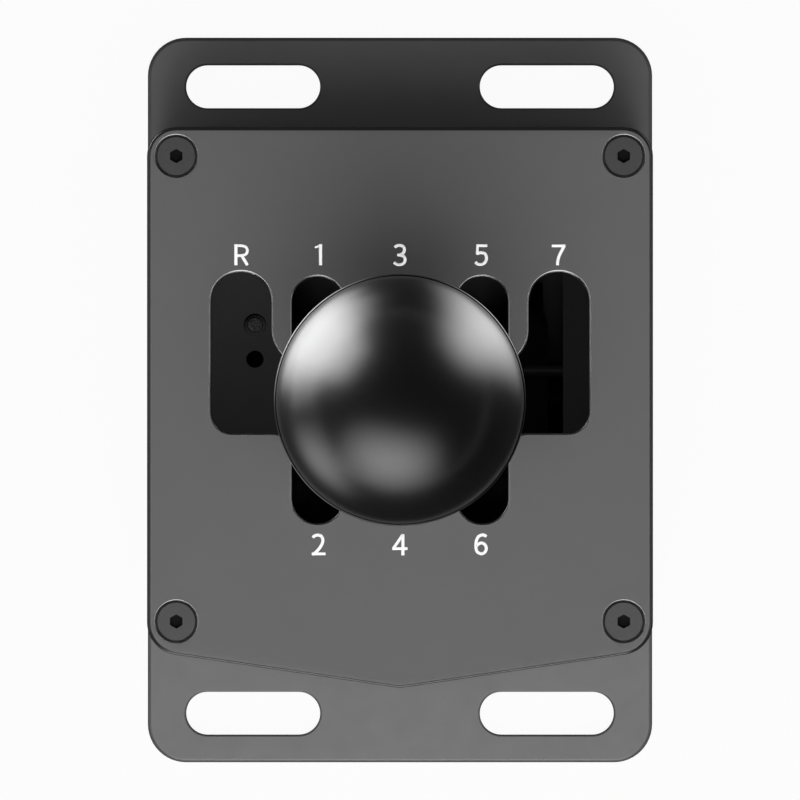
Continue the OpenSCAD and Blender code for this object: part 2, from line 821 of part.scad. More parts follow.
module detent_plunger(side) {
    color(bright_steel) translate([side * cam_x, 0, pivot_z]) {
        translate([0, nose_y, 0]) sphere(d = nose_d);
        translate([0, nose_y, 0]) rotate([-90, 0, 0])
            cylinder(h = plunger_front - nose_y + 1, d = nose_d);
        translate([0, plunger_front, 0]) rotate([-90, 0, 0]) difference() {
            cylinder(h = plunger_back - plunger_front, d = plunger_d);
            translate([0, 0, plunger_back - plunger_front - plunger_hole_l])
                cylinder(h = plunger_hole_l + 1, d = plunger_d - 2.4);
        }
    }
}

module detent_plunger_left() {
    detent_plunger(-1);
}

module detent_plunger_right() {
    detent_plunger(1);
}

// Coil springs: one unbroken wire of six sides that climbs along Z

coil_rings = 8;
wire_sides = 6;
function coil_turn(i) = 360 * i / coil_rings;
function coil_centre(i, r, length, turns) =
    [r * cos(coil_turn(i)), r * sin(coil_turn(i)), length * i / (turns * coil_rings)];
function coil_slope(r, length, turns) = atan(length / (2 * PI * r * turns));
function wire_point(i, j, r, wire, length, turns) =
    let (a = coil_turn(i), slope = coil_slope(r, length, turns), b = 360 * j / wire_sides,
        out = [cos(a), sin(a), 0],
        along = [-sin(a) * cos(slope), cos(a) * cos(slope), sin(slope)])
    coil_centre(i, r, length, turns) + wire / 2 * (cos(b) * out + sin(b) * cross(out, along));

// Least gap of a coil to itself, measured between points half a turn or more apart
function coil_gap(r, wire, length, turns) =
    min([for (i = [0:turns * coil_rings - coil_rings / 2], k = [coil_rings / 2:coil_rings + 2])
        if (i + k <= turns * coil_rings)
            norm(coil_centre(i + k, r, length, turns) - coil_centre(i, r, length, turns)) - wire]);

module coil_spring(r, wire, free_length, turns) {
    length = free_length - wire;
    last = turns * coil_rings;
    echo(str("least gap in a coil of ", turns, " turns: ", coil_gap(r, wire, length, turns)));
    points = [for (i = [0:last], j = [0:wire_sides - 1])
        wire_point(i, j, r, wire, length, turns)];
    walls = [for (i = [0:last - 1], j = [0:wire_sides - 1], half = [0, 1])
        let (a = i * wire_sides + j, b = i * wire_sides + (j + 1) % wire_sides,
            c = a + wire_sides, d = b + wire_sides)
        half == 0 ? [a, b, d] : [a, d, c]];
    start = [for (j = [1:wire_sides - 2]) [0, j + 1, j]];
    end = [for (j = [1:wire_sides - 2]) [0, j, j + 1] + last * wire_sides * [1, 1, 1]];
    translate([0, 0, wire / 2]) polyhedron(points, concat(walls, start, end));
}

module detent_spring(side) {
    start = plunger_back - plunger_hole_l + seat_gap;
    color(spring_steel) translate([side * cam_x, start, pivot_z]) rotate([-90, 0, 0])
        coil_spring(1.9, 0.9, detent_back - adjuster_l - seat_gap - start, 5);
}

module detent_spring_left() {
    detent_spring(-1);
}

module detent_spring_right() {
    detent_spring(1);
}

module centring_spring(side) {
    start = hub_lug_w / 2 + seat_gap;
    color(spring_steel) translate([side * start, 0, centring_z]) facing_side(side)
        coil_spring(centring_r, centring_wire, cradle_in + spring_pocket - seat_gap - start,
            centring_turns);
}

module centring_spring_left() {
    centring_spring(-1);
}

module centring_spring_right() {
    centring_spring(1);
}

module reverse_return_spring() {
    start = spring_seat_z + seat_gap;
    color(spring_steel) translate([0, 0, start])
        coil_spring(core_d / 2 + 0.9, 0.9, sleeve_bottom - seat_gap - start, 9);
}

// Circuit board, its fixings and the cable socket

module main_board() {
    color(board_black) difference() {
        translate([-board_w / 2, board_front, board_z]) cube([board_w, board_t, board_h]);
        for (x = [-1, 1], z = board_hole_z)
            translate([x * board_hole_x, board_front - 1, z])
                rotate([-90, 0, 0]) cylinder(h = board_t + 2, d = board_screw_d + 2 * fit);
    }
}

// A processor, two sensor plugs and four small parts on the board's front
module board_components() {
    color(chip_black) {
        on_board(0, socket_z, chip_w, chip_t, chip_w);
        for (side = [-1, 1]) {
            on_board(side * plug_x, board_z + plug_up, plug_w, plug_depth, plug_h);
            for (step = [-1, 1])
                on_board(side * plug_x + step * small_part_w, board_z + board_h - plug_up,
                    small_part_w, small_part_t, small_part_h);
        }
    }
}

module on_board(x, z, w, depth, h) {
    translate([x - w / 2, board_front - depth, z - h / 2]) cube([w, depth, h]);
}

module board_standoffs() {
    color(brass) for (x = [-1, 1], z = board_hole_z)
        translate([x * board_hole_x, board_back, z]) rotate([-90, 0, 0]) difference() {
            cylinder(h = standoff_l, d = standoff_w / cos(30), $fn = 6);
            translate([0, 0, -1]) cylinder(h = standoff_l + 2, d = board_screw_d + 2 * fit);
        }
}

module board_screws() {
    color(screw_black) for (x = [-1, 1], z = board_hole_z) {
        translate([x * board_hole_x, board_front, z])
            rotate([90, 0, 0]) cap_screw(board_screw_d, 4.5, 1.6, 4, 1.5);
        translate([x * board_hole_x, rear_face, z])
            rotate([-90, 0, 0]) flat_screw(board_screw_d, cap_screw_head, cover_t + 2.5, 1.5);
    }
}

module cable_socket() {
    length = rear_face - board_back;
    color(chip_black) translate([socket_x, rear_face, socket_z]) difference() {
        translate([-socket_w / 2, -length, -socket_h / 2]) cube([socket_w, length, socket_h]);
        translate([-socket_hole_w / 2, -socket_depth, 1.5 - socket_hole_h / 2])
            cube([socket_hole_w, socket_depth + 1, socket_hole_h]);
        translate([-socket_key_w / 2, -socket_depth, 1.5 - socket_hole_h / 2 - socket_key_h])
            cube([socket_key_w, socket_depth + 1, socket_key_h + 1]);
    }
}

// Cradle, which tilts about X for the shift

module cam_outline() {
    reach = 2 * cam_r;
    difference() {
        intersection() {
            circle(cam_r);
            polygon([[0, 0], [reach * cos(cam_span), -reach * sin(cam_span)],
                [reach * cos(cam_span), reach * sin(cam_span)]]);
        }
        for (turn = [-shift_angle, 0, shift_angle])
            rotate(turn) translate([notch_centre_r, 0]) circle(notch_r);
    }
}

module shift_cradle() {
    height = cradle_up + cradle_down;
    inner_l = cradle_l - 2 * cradle_end_t;
    color(cradle_black) difference() {
        union() {
            translate([-cradle_half, -cradle_end, pivot_z - cradle_down])
                cube([2 * cradle_half, cradle_l, height]);
            for (side = [-1, 1]) {
                translate([side * (cradle_half - 1), 0, pivot_z]) facing_side(side)
                    cylinder(h = side_in - cradle_half + 1 - running, d = boss_d);
                translate([side * cam_x - cam_t / 2, 0, pivot_z]) rotate([90, 0, 90])
                    linear_extrude(cam_t) cam_outline();
            }
        }
        translate([-cradle_in, -inner_l / 2, pivot_z - cradle_down - 1])
            cube([2 * cradle_in, inner_l, height + 2]);
        translate([0, -cradle_end - 1, pivot_z]) rotate([-90, 0, 0])
            cylinder(h = cradle_l + 2, d = shaft_d + 2 * bush_wall);
        for (side = [-1, 1]) {
            translate([side * (cradle_in - 1), 0, pivot_z]) facing_side(side)
                cylinder(h = side_in, d = shaft_d);
            translate([side * (cradle_in - 1), 0, centring_z]) facing_side(side)
                cylinder(h = spring_pocket + 1, d = spring_pocket_d);
            translate([side * sensor_post_x, -cradle_end - 1, pivot_z]) rotate([-90, 0, 0])
                cylinder(h = sensor_thread_l + 1.2, d = m2_d + 2 * fit);
        }
    }
}

module shift_shafts() {
    color(bright_steel) for (side = [-1, 1])
        translate([side * cradle_in, 0, pivot_z]) facing_side(side) difference() {
            cylinder(h = shaft_end - cradle_in, d = shaft_d);
            if (side < 0)
                translate([0, 0, shaft_end - cradle_in - magnet_t])
                    cylinder(h = magnet_t + 1, d = magnet_d + 2 * fit);
        }
}

module shift_magnet() {
    color(spring_steel) translate([-shaft_end, 0, pivot_z])
        facing_side(1) cylinder(h = magnet_t, d = magnet_d);
}

module select_bushes() {
    color(bronze) for (side = [0, 1]) mirror([0, side, 0])
        translate([0, cradle_end - cradle_end_t - bush_flange_t, pivot_z]) rotate([-90, 0, 0])
            difference() {
                union() {
                    cylinder(h = bush_flange_t, d = shaft_d + 2 * bush_wall + 3);
                    cylinder(h = cradle_end_t + bush_flange_t, d = shaft_d + 2 * bush_wall);
                }
                translate([0, 0, -1])
                    cylinder(h = cradle_end_t + 3, d = shaft_d + 2 * running);
            }
}

module select_sensor_posts() {
    color(brass) for (x = [-1, 1])
        translate([x * sensor_post_x, -cradle_end, pivot_z]) rotate([90, 0, 0]) {
            cylinder(h = sensor_post_l, d = sensor_post_d);
            translate([0, 0, -sensor_thread_l])
                cylinder(h = sensor_post_l + 2 * sensor_thread_l, d = m2_d);
        }
}

module select_sensor_board() {
    board_y = -cradle_end - sensor_post_l;
    color(board_black) {
        difference() {
            translate([-select_board_w / 2, board_y - sensor_t, pivot_z - select_board_h / 2])
                cube([select_board_w, sensor_t, select_board_h]);
            for (x = [-1, 1])
                translate([x * sensor_post_x, board_y - 2 * sensor_t, pivot_z]) rotate([-90, 0, 0])
                    cylinder(h = 3 * sensor_t, d = m2_d + 2 * fit);
        }
        translate([-2, board_y, pivot_z - 1.5]) cube([4, sensor_chip_t, 3]);
    }
}

// Lever hub, which tilts about Y in the cradle for the choice of lane

module lever_hub() {
    collar_d = hub_w;
    color(spring_steel) difference() {
        union() {
            translate([-hub_w / 2, -hub_half_l, pivot_z - hub_down])
                cube([hub_w, 2 * hub_half_l, 2 * hub_down]);
            translate([-hub_lug_w / 2, -hub_lug_w / 2, pivot_z - cradle_down])
                cube([hub_lug_w, hub_lug_w, cradle_down]);
            translate([0, 0, pivot_z]) cylinder(h = hub_up, d = collar_d);
        }
        translate([0, -hub_half_l - 1, pivot_z]) rotate([-90, 0, 0])
            cylinder(h = 2 * hub_half_l + 2, d = shaft_d);
        translate([0, 0, hub_top - core_foot_l])
            cylinder(h = core_foot_l + 1, d = core_foot_d + 2 * fit);
        translate([0, 0, pivot_z - cradle_down - 1])
            cylinder(h = cradle_down + 1 - shaft_d / 2, d = m3_d + 2 * fit);
    }
}

module hub_clamp_screw() {
    color(screw_black) translate([0, 0, pivot_z - shaft_d / 2 - clamp_screw_l])
        set_screw(m3_d, clamp_screw_l, set_key);
}

module select_pin() {
    color(bright_steel) translate([0, -pin_front, pivot_z]) rotate([-90, 0, 0]) difference() {
        cylinder(h = pin_front + pin_rear, d = shaft_d);
        translate([0, 0, -1]) cylinder(h = magnet_t + 1, d = magnet_d + 2 * fit);
    }
}

module select_magnet() {
    color(spring_steel) translate([0, -pin_front, pivot_z])
        rotate([-90, 0, 0]) cylinder(h = magnet_t, d = magnet_d);
}

module lever_core() {
    color(bright_steel) difference() {
        union() {
            translate([0, 0, hub_top - core_foot_l]) cylinder(h = core_foot_l, d = core_foot_d);
            translate([0, 0, hub_top]) cylinder(h = spring_seat_t, d = spring_seat_d);
            translate([0, 0, hub_top]) cylinder(h = core_top - hub_top, d = core_d);
        }
        translate([-core_d, 0, pin_z]) rotate([0, 90, 0])
            cylinder(h = 2 * core_d, d = m2_d + 2 * fit);
    }
}

module retaining_pin() {
    length = sleeve_d - 0.2;
    color(bright_steel) translate([-length / 2, 0, pin_z]) rotate([0, 90, 0])
        cylinder(h = length, d = m2_d);
}

// Sleeve, collar and knob, which slide down the core together

module lever_sleeve() {
    color(bright_steel) difference() {
        translate([0, 0, sleeve_bottom]) cylinder(h = sleeve_top - sleeve_bottom, d = sleeve_d);
        translate([0, 0, sleeve_bottom - 1])
            cylinder(h = sleeve_top - sleeve_bottom + 2, d = sleeve_bore);
        translate([-sleeve_d, 0, pin_z]) rotate([90, 0, 90]) linear_extrude(2 * sleeve_d)
            translate([0, press_travel / 2]) rotate(90)
                slot(press_travel + pin_slot_w + 2 * running, pin_slot_w);
    }
}

module lockout_collar() {
    color(screw_black) difference() {
        translate([-collar_w / 2, -collar_l / 2, collar_z]) cube([collar_w, collar_l, collar_h]);
        translate([0, 0, collar_z - 1]) cylinder(h = collar_h + 2, d = sleeve_d + 2 * fit);
    }
}

module lock_nut() {
    color(screw_black) translate([0, 0, knob_bottom - nut_h]) difference() {
        cylinder(h = nut_h, d = nut_w / cos(30), $fn = 6);
        translate([0, 0, -1]) cylinder(h = nut_h + 2, d = sleeve_d + 2 * fit);
    }
}

module knob_insert() {
    color(brass) translate([0, 0, knob_bottom]) difference() {
        cylinder(h = sleeve_top - knob_bottom, d = insert_d);
        translate([0, 0, -1])
            cylinder(h = sleeve_top - knob_bottom + 2, d = sleeve_d + 2 * fit);
    }
}

spigot_d = knob_d - 14;
spigot_h = 3;

module knob() {
    r = knob_d / 2;
    color(knob_black) translate([0, 0, knob_z]) difference() {
        rotate_extrude() {
            intersection() {
                circle(r, $fn = 96);
                translate([0, -r]) square([r, r]);
            }
            translate([0, -neck_drop]) square([neck_d / 2, neck_drop]);
        }
        translate([0, 0, -neck_drop - 1])
            cylinder(h = sleeve_top - knob_bottom + 1.5, d = insert_d + 2 * fit);
        translate([0, 0, -spigot_h - fit])
            cylinder(h = spigot_h + 1, d = spigot_d + 2 * fit);
    }
}

module knob_cap() {
    r = knob_d / 2 - knob_step;
    color(knob_black) translate([0, 0, knob_z]) rotate_extrude() {
        intersection() {
            circle(r, $fn = 96);
            square(r);
        }
        translate([0, -spigot_h]) square([spigot_d / 2, spigot_h + 1]);
    }
}

mounting_plate();
left_side_plate();
right_side_plate();
front_cover();
rear_cover();
gate_plate();
gate_screws();
base_screws();
cover_screws();
shelf_screws();
left_bearing_cap();
right_bearing_cap();
bearing_cap_screws();
bearing_outer_rings();
bearing_balls();
bearing_inner_rings();
reverse_stop();
reverse_stop_screws();
left_shelf();
left_shelf_bolt();
right_ledge();
wire_post();
detent_housing();
detent_housing_screws();
detent_adjusters();
detent_spring_left();
detent_spring_right();
detent_plunger_left();
detent_plunger_right();
main_board();
board_components();
board_standoffs();
board_screws();
cable_socket();
shift_sensor_board();
shift_magnet();
shift_cradle();
shift_shafts();
select_bushes();
select_pin();
select_magnet();
select_sensor_board();
select_sensor_posts();
centring_spring_left();
centring_spring_right();
lever_hub();
hub_clamp_screw();
lever_core();
retaining_pin();
reverse_return_spring();
lever_sleeve();
lockout_collar();
lock_nut();
knob_insert();
knob();
knob_cap();
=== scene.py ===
"""Looks of a seven speed gear shifter: finishes, softened edges, screws, springs and studio."""

import json
import math

import bmesh
import bpy
from bpy.props import FloatProperty, FloatVectorProperty, IntProperty, PointerProperty
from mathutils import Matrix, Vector

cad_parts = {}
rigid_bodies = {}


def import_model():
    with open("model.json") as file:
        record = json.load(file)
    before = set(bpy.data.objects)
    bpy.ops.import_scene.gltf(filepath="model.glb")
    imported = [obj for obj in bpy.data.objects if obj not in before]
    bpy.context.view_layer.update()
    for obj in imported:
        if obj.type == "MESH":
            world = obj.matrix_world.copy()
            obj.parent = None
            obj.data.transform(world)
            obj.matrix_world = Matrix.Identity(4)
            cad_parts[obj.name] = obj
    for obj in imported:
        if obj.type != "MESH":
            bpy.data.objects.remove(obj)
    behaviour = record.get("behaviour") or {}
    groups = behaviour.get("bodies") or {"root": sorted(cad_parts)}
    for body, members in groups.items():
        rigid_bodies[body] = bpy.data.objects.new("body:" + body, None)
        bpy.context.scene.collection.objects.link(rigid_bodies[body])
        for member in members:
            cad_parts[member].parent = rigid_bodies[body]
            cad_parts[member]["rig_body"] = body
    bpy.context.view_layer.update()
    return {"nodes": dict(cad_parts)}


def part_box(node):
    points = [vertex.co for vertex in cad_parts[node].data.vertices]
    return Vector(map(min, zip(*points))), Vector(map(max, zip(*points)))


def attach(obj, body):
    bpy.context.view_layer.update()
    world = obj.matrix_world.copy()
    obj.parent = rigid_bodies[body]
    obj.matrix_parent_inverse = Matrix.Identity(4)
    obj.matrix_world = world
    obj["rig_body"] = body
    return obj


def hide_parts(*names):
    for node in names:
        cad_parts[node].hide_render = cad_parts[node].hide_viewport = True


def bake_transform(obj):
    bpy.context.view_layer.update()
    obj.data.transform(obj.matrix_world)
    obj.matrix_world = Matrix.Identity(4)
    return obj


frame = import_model()
nodes = frame["nodes"]

bl_info = {
    "name": "Gear Shifter Looks",
    "version": (1, 0, 0),
    "blender": (4, 5, 0),
    "location": "View3D > Sidebar > Shifter",
    "description": "Finishes, detail pieces and studio of a seven speed H gate shifter",
    "category": "Object",
}

MM = 0.001
GATE_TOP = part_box("gate_plate")[1].z
KNOB_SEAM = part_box("knob")[1].z
KNOB_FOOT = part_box("knob")[0].z
KNOB_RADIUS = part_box("knob")[1].x
CAP_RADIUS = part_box("knob_cap")[1].x
CAP_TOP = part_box("knob_cap")[1].z

# Corners between faces that are flatter than this many degrees are shaded smooth
SHARP = 32.0
# Steps of the rounding along the plates' rims, and its radius at the screw holes
RIM_STEPS = 5
HOLE_EDGE = 0.2 * MM
# Share of the floor's white that comes from its own light, where the background is seen
FLOOR_GLOW = 0.95

# For the lamps: how the names of the outer walls' pieces begin, and of those deep in the housing, and
# the names of the pieces that are seen in the lanes
WALLS = (
    "finished_left_side", "finished_right_side", "finished_front_cover", "finished_rear_cover",
    "finished_left_bearing_cap", "finished_right_bearing_cap", "cover_screws", "shelf_screws",
    "bearing_cap_screws", "finished_cable_socket")
INSIDE = (
    "finished_shift_", "finished_select_", "finished_detent", "finished_reverse_stop", "finished_board",
    "finished_main_board", "finished_lever_hub", "finished_bearing_", "finished_lockout",
    "finished_left_shelf_bolt")
WINDOW = ("finished_left_shelf", "finished_right_ledge", "finished_wire_post")


# Small helpers for numbers and meshes


def length(name, description, default):
    return FloatProperty(
        name=name, description=description, default=default, min=0.0, subtype="DISTANCE", unit="LENGTH"
    )


def colour(name, description, *default):
    """A colour setting, given by one grey or by red, green and blue."""
    default = default * 3 if len(default) == 1 else default
    return FloatVectorProperty(
        name=name, description=description, default=default, min=0.0, max=1.0, size=3, subtype="COLOR"
    )


def strength(name, description, default):
    return FloatProperty(name=name, description=description, default=default, min=0.0)


def new_piece(name, mesh):
    piece = bpy.data.objects.new(name, mesh)
    bpy.context.scene.collection.objects.link(piece)
    return piece


def smooth_by_angle(mesh, degrees=SHARP):
    mesh.shade_smooth()
    mesh.set_sharp_from_angle(angle=math.radians(degrees))


def level_faces(piece):
    """Keeps large flat faces flat where small rounded ones meet them."""
    level = piece.modifiers.new("level", "WEIGHTED_NORMAL")
    level.keep_sharp = True
    level.weight = 90
    settle(piece)


def settle(piece):
    """Turns what the modifiers show into the piece's own mesh and removes them."""
    bpy.context.view_layer.update()
    depsgraph = bpy.context.evaluated_depsgraph_get()
    mesh = bpy.data.meshes.new_from_object(piece.evaluated_get(depsgraph))
    mesh.name = piece.name
    piece.modifiers.clear()
    piece.data = mesh


def hand_over(piece, body, finish, *replaced):
    """Says which body carries the piece and hides the CAD nodes that it stands for; the finish is not used.
    """
    if replaced:
        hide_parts(*replaced)
    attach(piece, body)


def merged_copy(node):
    work = bmesh.new()
    work.from_mesh(nodes[node].data)
    bmesh.ops.remove_doubles(work, verts=work.verts, dist=0.001 * MM)
    return work


def plain_copy(node):
    """A merged copy of a CAD node whose flat faces are whole."""
    work = merged_copy(node)
    bmesh.ops.dissolve_limit(work, angle_limit=math.radians(0.4), verts=work.verts, edges=work.edges)
    return work


def solids(node):
    """The box of each solid of a CAD node, as (lowest, highest), from left to right."""
    work = merged_copy(node)
    waiting, boxes = set(work.verts), []
    while waiting:
        solid = [waiting.pop()]
        for vert in solid:
            for edge in vert.link_edges:
                other = edge.other_vert(vert)
                if other in waiting:
                    waiting.remove(other)
                    solid.append(other)
        boxes.append([
            Vector([pick(vert.co[i] for vert in solid) for i in range(3)]) for pick in (min, max)])
    work.free()
    return sorted(boxes, key=lambda box: tuple(round(value, 5) for value in box[0]))


# Finishes


class Graph:
    """Adds nodes to a node tree. Their values go by socket name or number, and may be sockets to link."""

    def __init__(self, tree):
        self.tree = tree

    def node(self, kind, values=None, **settings):
        node = self.tree.nodes.new(kind)
        for key, value in settings.items():
            setattr(node, key, value)
        for key, value in (values or {}).items():
            for one in value if isinstance(value, list) else [value]:
                if isinstance(one, bpy.types.NodeSocket):
                    self.tree.links.new(one, node.inputs[key])
                else:
                    node.inputs[key].default_value = one
        return node

    def add(self, kind, values=None, out=0, **settings):
        return self.node(kind, values, **settings).outputs[out]

    def maths(self, operation, *values):
        return self.add("ShaderNodeMath", dict(enumerate(values)), operation=operation)

    def ranged(self, value, start, end, low, high, **settings):
        return self.add("ShaderNodeMapRange", {
            "Value": value, "From Min": start, "From Max": end, "To Min": low, "To Max": high}, **settings)

    def background_rays(self):
        """1 for the rays that see the plain white background: camera, glossy and transmission rays."""
        path = self.node("ShaderNodeLightPath").outputs
        seen = path["Is Camera Ray"]
        for ray in ("Is Glossy Ray", "Is Transmission Ray"):
            seen = self.maths("MAXIMUM", seen, path[ray])
        return seen


class Finish(Graph):
    """One procedural material on Object coordinates, built up step by step."""

    def __init__(self, name, base, rough, specular=0.5, metallic=0.0, bending=1.5):
        self.material = bpy.data.materials.new(name)
        self.material.use_nodes = True
        super().__init__(self.material.node_tree)
        self.base = tuple(base)
        self.material.diffuse_color = (*self.base, 1.0)
        self.shader = self.tree.nodes["Principled BSDF"].inputs
        for label, value in (
                ("Base Color", self.material.diffuse_color), ("Roughness", rough), ("Metallic", metallic),
                ("Specular IOR Level", specular), ("IOR", bending)):
            self.shader[label].default_value = value
        self.place = self.add("ShaderNodeTexCoord", out="Object")
        self.normal = None

    def stretched(self, scale):
        return self.add("ShaderNodeMapping", {"Vector": self.place, "Scale": scale})

    def noise(self, grain, detail=3.0, place=None):
        """Noise whose grains are about that many millimetres across."""
        return self.add("ShaderNodeTexNoise", {
            "Vector": place or self.place, "Scale": 1.0 / (grain * MM), "Detail": detail,
            "Roughness": 0.55}, out="Fac")

    def mix(self, value, first, second):
        """The shader's colour, mixed from two colours or sockets."""
        mix = self.node("ShaderNodeMix", {"Factor": value, 6: first, 7: second}, data_type="RGBA")
        self.tree.links.new(mix.outputs[2], self.shader["Base Color"])
        return mix

    def shade(self, share):
        return (*[channel * share for channel in self.base], 1.0)

    def mottle(self, value, darker, lighter):
        """Colour that wanders a little round the base colour."""
        return self.mix(value, self.shade(darker), self.shade(lighter))

    def paint_shade_in_box(self, mix, box, share):
        """Painted shade: less of the colour inside a box, given by its middle and half size."""
        apart = self.node("ShaderNodeSeparateXYZ", {"Vector": self.place}).outputs
        inside = 1.0
        for axis, (middle, half) in enumerate(zip(*box)):
            away = self.maths("ABSOLUTE", self.maths("SUBTRACT", apart[axis], middle))
            inside = self.maths("MULTIPLY", inside, self.maths("LESS_THAN", away, half))
        self.mix(inside, mix.outputs[2], self.shade(share))

    def roughen(self, value, low, high):
        self.tree.links.new(self.ranged(value, 0.3, 0.7, low, high), self.shader["Roughness"])

    def relief(self, height, depth, strength):
        """Bumps that many millimetres deep, over those already there."""
        values = {"Height": height, "Distance": depth * MM, "Strength": strength}
        if self.normal is not None:
            values["Normal"] = self.normal
        self.normal = self.add("ShaderNodeBump", values)
        self.tree.links.new(self.normal, self.shader["Normal"])


def box_between(left, right, front, back):
    """The middle and the half size of the space between four walls, over the mounting plate."""
    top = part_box("mounting_plate")[1].z
    return (
        ((left + right) / 2, (front + back) / 2, top), ((right - left) / 2, (back - front) / 2, 0.3 * MM))


def powder_coat(name, base):
    """Powder coat, with painted shade that darkens the plate's floor inside the housing."""
    finish = Finish(name, base, 0.5, 0.35)
    peel = finish.noise(1.1, 2.0)
    coat = finish.mottle(finish.noise(9), 0.94, 1.06)
    # Painted shade: inside the housing the plate keeps only 0.12 of its colour
    finish.paint_shade_in_box(coat, box_between(
        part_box("left_side_plate")[1].x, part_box("right_side_plate")[0].x,
        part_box("front_cover")[1].y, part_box("rear_cover")[0].y), 0.12)
    finish.roughen(finish.noise(3), 0.44, 0.56)
    finish.relief(peel, 0.02, 0.35)
    finish.relief(finish.noise(0.25, 1.0), 0.006, 0.35)
    return finish.material


def grained(name, base, rough, specular, hue, sheen, bumps=None, bending=1.5):
    """A finish whose colour, roughness and height wander, each with a grain of its own in millimetres.

    hue is (grain, share), sheen is (grain, lowest, highest roughness), bumps are (grain, depth, strength).
    """
    finish = Finish(name, base, rough, specular, bending=bending)
    finish.mottle(finish.noise(hue[0]), 1.0 - hue[1], 1.0 + hue[1])
    finish.roughen(finish.noise(sheen[0]), *sheen[1:])
    if bumps:
        finish.relief(finish.noise(bumps[0], 1.0), *bumps[1:])
    return finish.material


def anodised(name, base, rough=0.42):
    return grained(
        name, base, rough, 0.4, (14, 0.05), (0.8, rough - 0.05, rough + 0.05), (0.16, 0.004, 0.4))


def rim_with_painted_shade(name, base, rough, bending):
    """A rounded edge, smoother than the flat beside it, and darker in colour as painted shade along the
    edge.
    """
    return grained(name, base, rough, 0.5, (14, 0.05), (0.8, rough - 0.02, rough + 0.02), None, bending)


def moulding(name, base, specular):
    return grained(name, base, 0.5, specular, (5, 0.12), (0.6, 0.44, 0.58), (0.2, 0.006, 0.4))


def turned_metal(name, base, rough, along=(1.0, 1.0, 14.0)):
    """Metal with fine marks of the tool, closely spaced along one axis."""
    finish = Finish(name, base, rough, metallic=1.0)
    marks = finish.noise(1.2, 2.0, finish.stretched(along))
    finish.mottle(finish.noise(4), 0.93, 1.05)
    finish.roughen(marks, rough - 0.06, rough + 0.08)
    finish.relief(marks, 0.004, 0.25)
    return finish.material


def solder_mask(name, base):
    """A circuit board: dark lacquer with slightly raised copper tracks under it."""
    finish = Finish(name, base, 0.32)
    tracks = finish.add("ShaderNodeTexBrick", {
        "Vector": finish.stretched((1.0, 0.0, 1.0)), "Scale": 1.0, "Mortar Size": 0.25 * MM,
        "Brick Width": 5.1 * MM, "Row Height": 2.3 * MM}, out="Fac", offset=0.37)
    finish.mottle(tracks, 1.0, 1.9).clamp_factor = True
    finish.relief(tracks, 0.03, 0.4)
    return finish.material


def floor_paint(name, base):
    """White floor: near full white to the camera and in reflections, yet it keeps a soft shadow."""
    material = bpy.data.materials.new(name)
    material.use_nodes = True
    graph = Graph(material.node_tree)
    graph.tree.nodes.remove(graph.tree.nodes["Principled BSDF"])
    matt = graph.add("ShaderNodeBsdfDiffuse", {"Color": (*base, 1.0)})
    glow = graph.maths("MULTIPLY", graph.background_rays(), FLOOR_GLOW)
    mix = graph.add("ShaderNodeMixShader", {0: glow, 1: matt, 2: graph.add("ShaderNodeEmission")})
    graph.tree.links.new(mix, graph.tree.nodes["Material Output"].inputs["Surface"])
    return material


# Sizes and colours that a user would change


class FinishSettings(bpy.types.PropertyGroup):
    plate: colour("Mounting plate", "Powder coat of the mounting plate", 0.178)
    housing: colour("Housing", "Anodised gate plate, side plates and covers", 0.135, 0.135, 0.136)
    # Painted shade: the rims get colours far darker than the flats beside them, to stand for the shade along
    # the edges
    rim: colour("Rims", "Polished black rims of the gate plate", 0.02)
    coated_rim: colour("Plate rims", "Rims of the mounting plate", 0.1)
    # Painted shade: the shelf's anodise is the housing's at about half the brightness, for the shade deep
    # inside the housing
    shelf: colour("Shelf", "Anodised shelf and ledge inside the housing", 0.07)
    screw: colour("Screws", "Blacked steel of the screws and inner stops", 0.026, 0.026, 0.027)
    # Painted shade: the sockets are given a colour far darker than the screws', for the shade inside them
    socket: colour("Sockets", "Oily black inside the screws' sockets", 0.006)
    steel: colour("Bright steel", "Lever, shafts and bearings", 0.56, 0.57, 0.58)
    spring: colour("Spring steel", "Springs and the lever hub", 0.36, 0.36, 0.37)
    cradle: colour("Cradle", "Hard anodised cradle and detent housing", 0.03, 0.03, 0.031)
    bronze: colour("Bronze", "Bushes of the select pin", 0.50, 0.30, 0.14)
    brass: colour("Brass", "Stand-offs, contacts and knob insert", 0.72, 0.53, 0.24)
    board: colour("Circuit board", "Solder mask of the circuit boards", 0.008, 0.022, 0.017)
    plastic: colour("Plastic", "Cable socket and board components", 0.022, 0.022, 0.023)
    knob: colour("Knob", "Black gloss of the knob", 0.0012)
    ink: colour("Numbers", "Ink of the gear numbers", 0.92)
    floor: colour("Floor", "Studio floor", 0.9)


class SizeSettings(bpy.types.PropertyGroup):
    plate_edge: length("Plate edge", "Rounding round the mounting plate", 0.7 * MM)
    slot_edge: length("Slot edge", "Rounding along the mounting slots", 0.4 * MM)
    gate_edge: length("Gate edge", "Rounding round the gate plate", 0.7 * MM)
    lane_edge: length("Lane edge", "Rounding along the lanes", 0.42 * MM)
    cover_edge: length("Cover edge", "Rounding along the covers' edges", 0.4 * MM)
    small_edge: length("Small edge", "Rounding along the edges of small pieces", 0.15 * MM)
    ink_thickness: length("Ink thickness", "How far the numbers stand off the plate", 0.04 * MM)
    groove_width: length("Knob groove width", "Width of the dark groove inside the rim", 0.18 * MM)
    groove_depth: length("Knob groove depth", "Depth of the groove", 0.5 * MM)
    neck_fillet: length("Neck fillet", "Radius between the ball and its neck", 3.0 * MM)
    turned_sides: IntProperty(
        name="Turned sides", description="Faces round the knob", default=160, min=32, max=512)


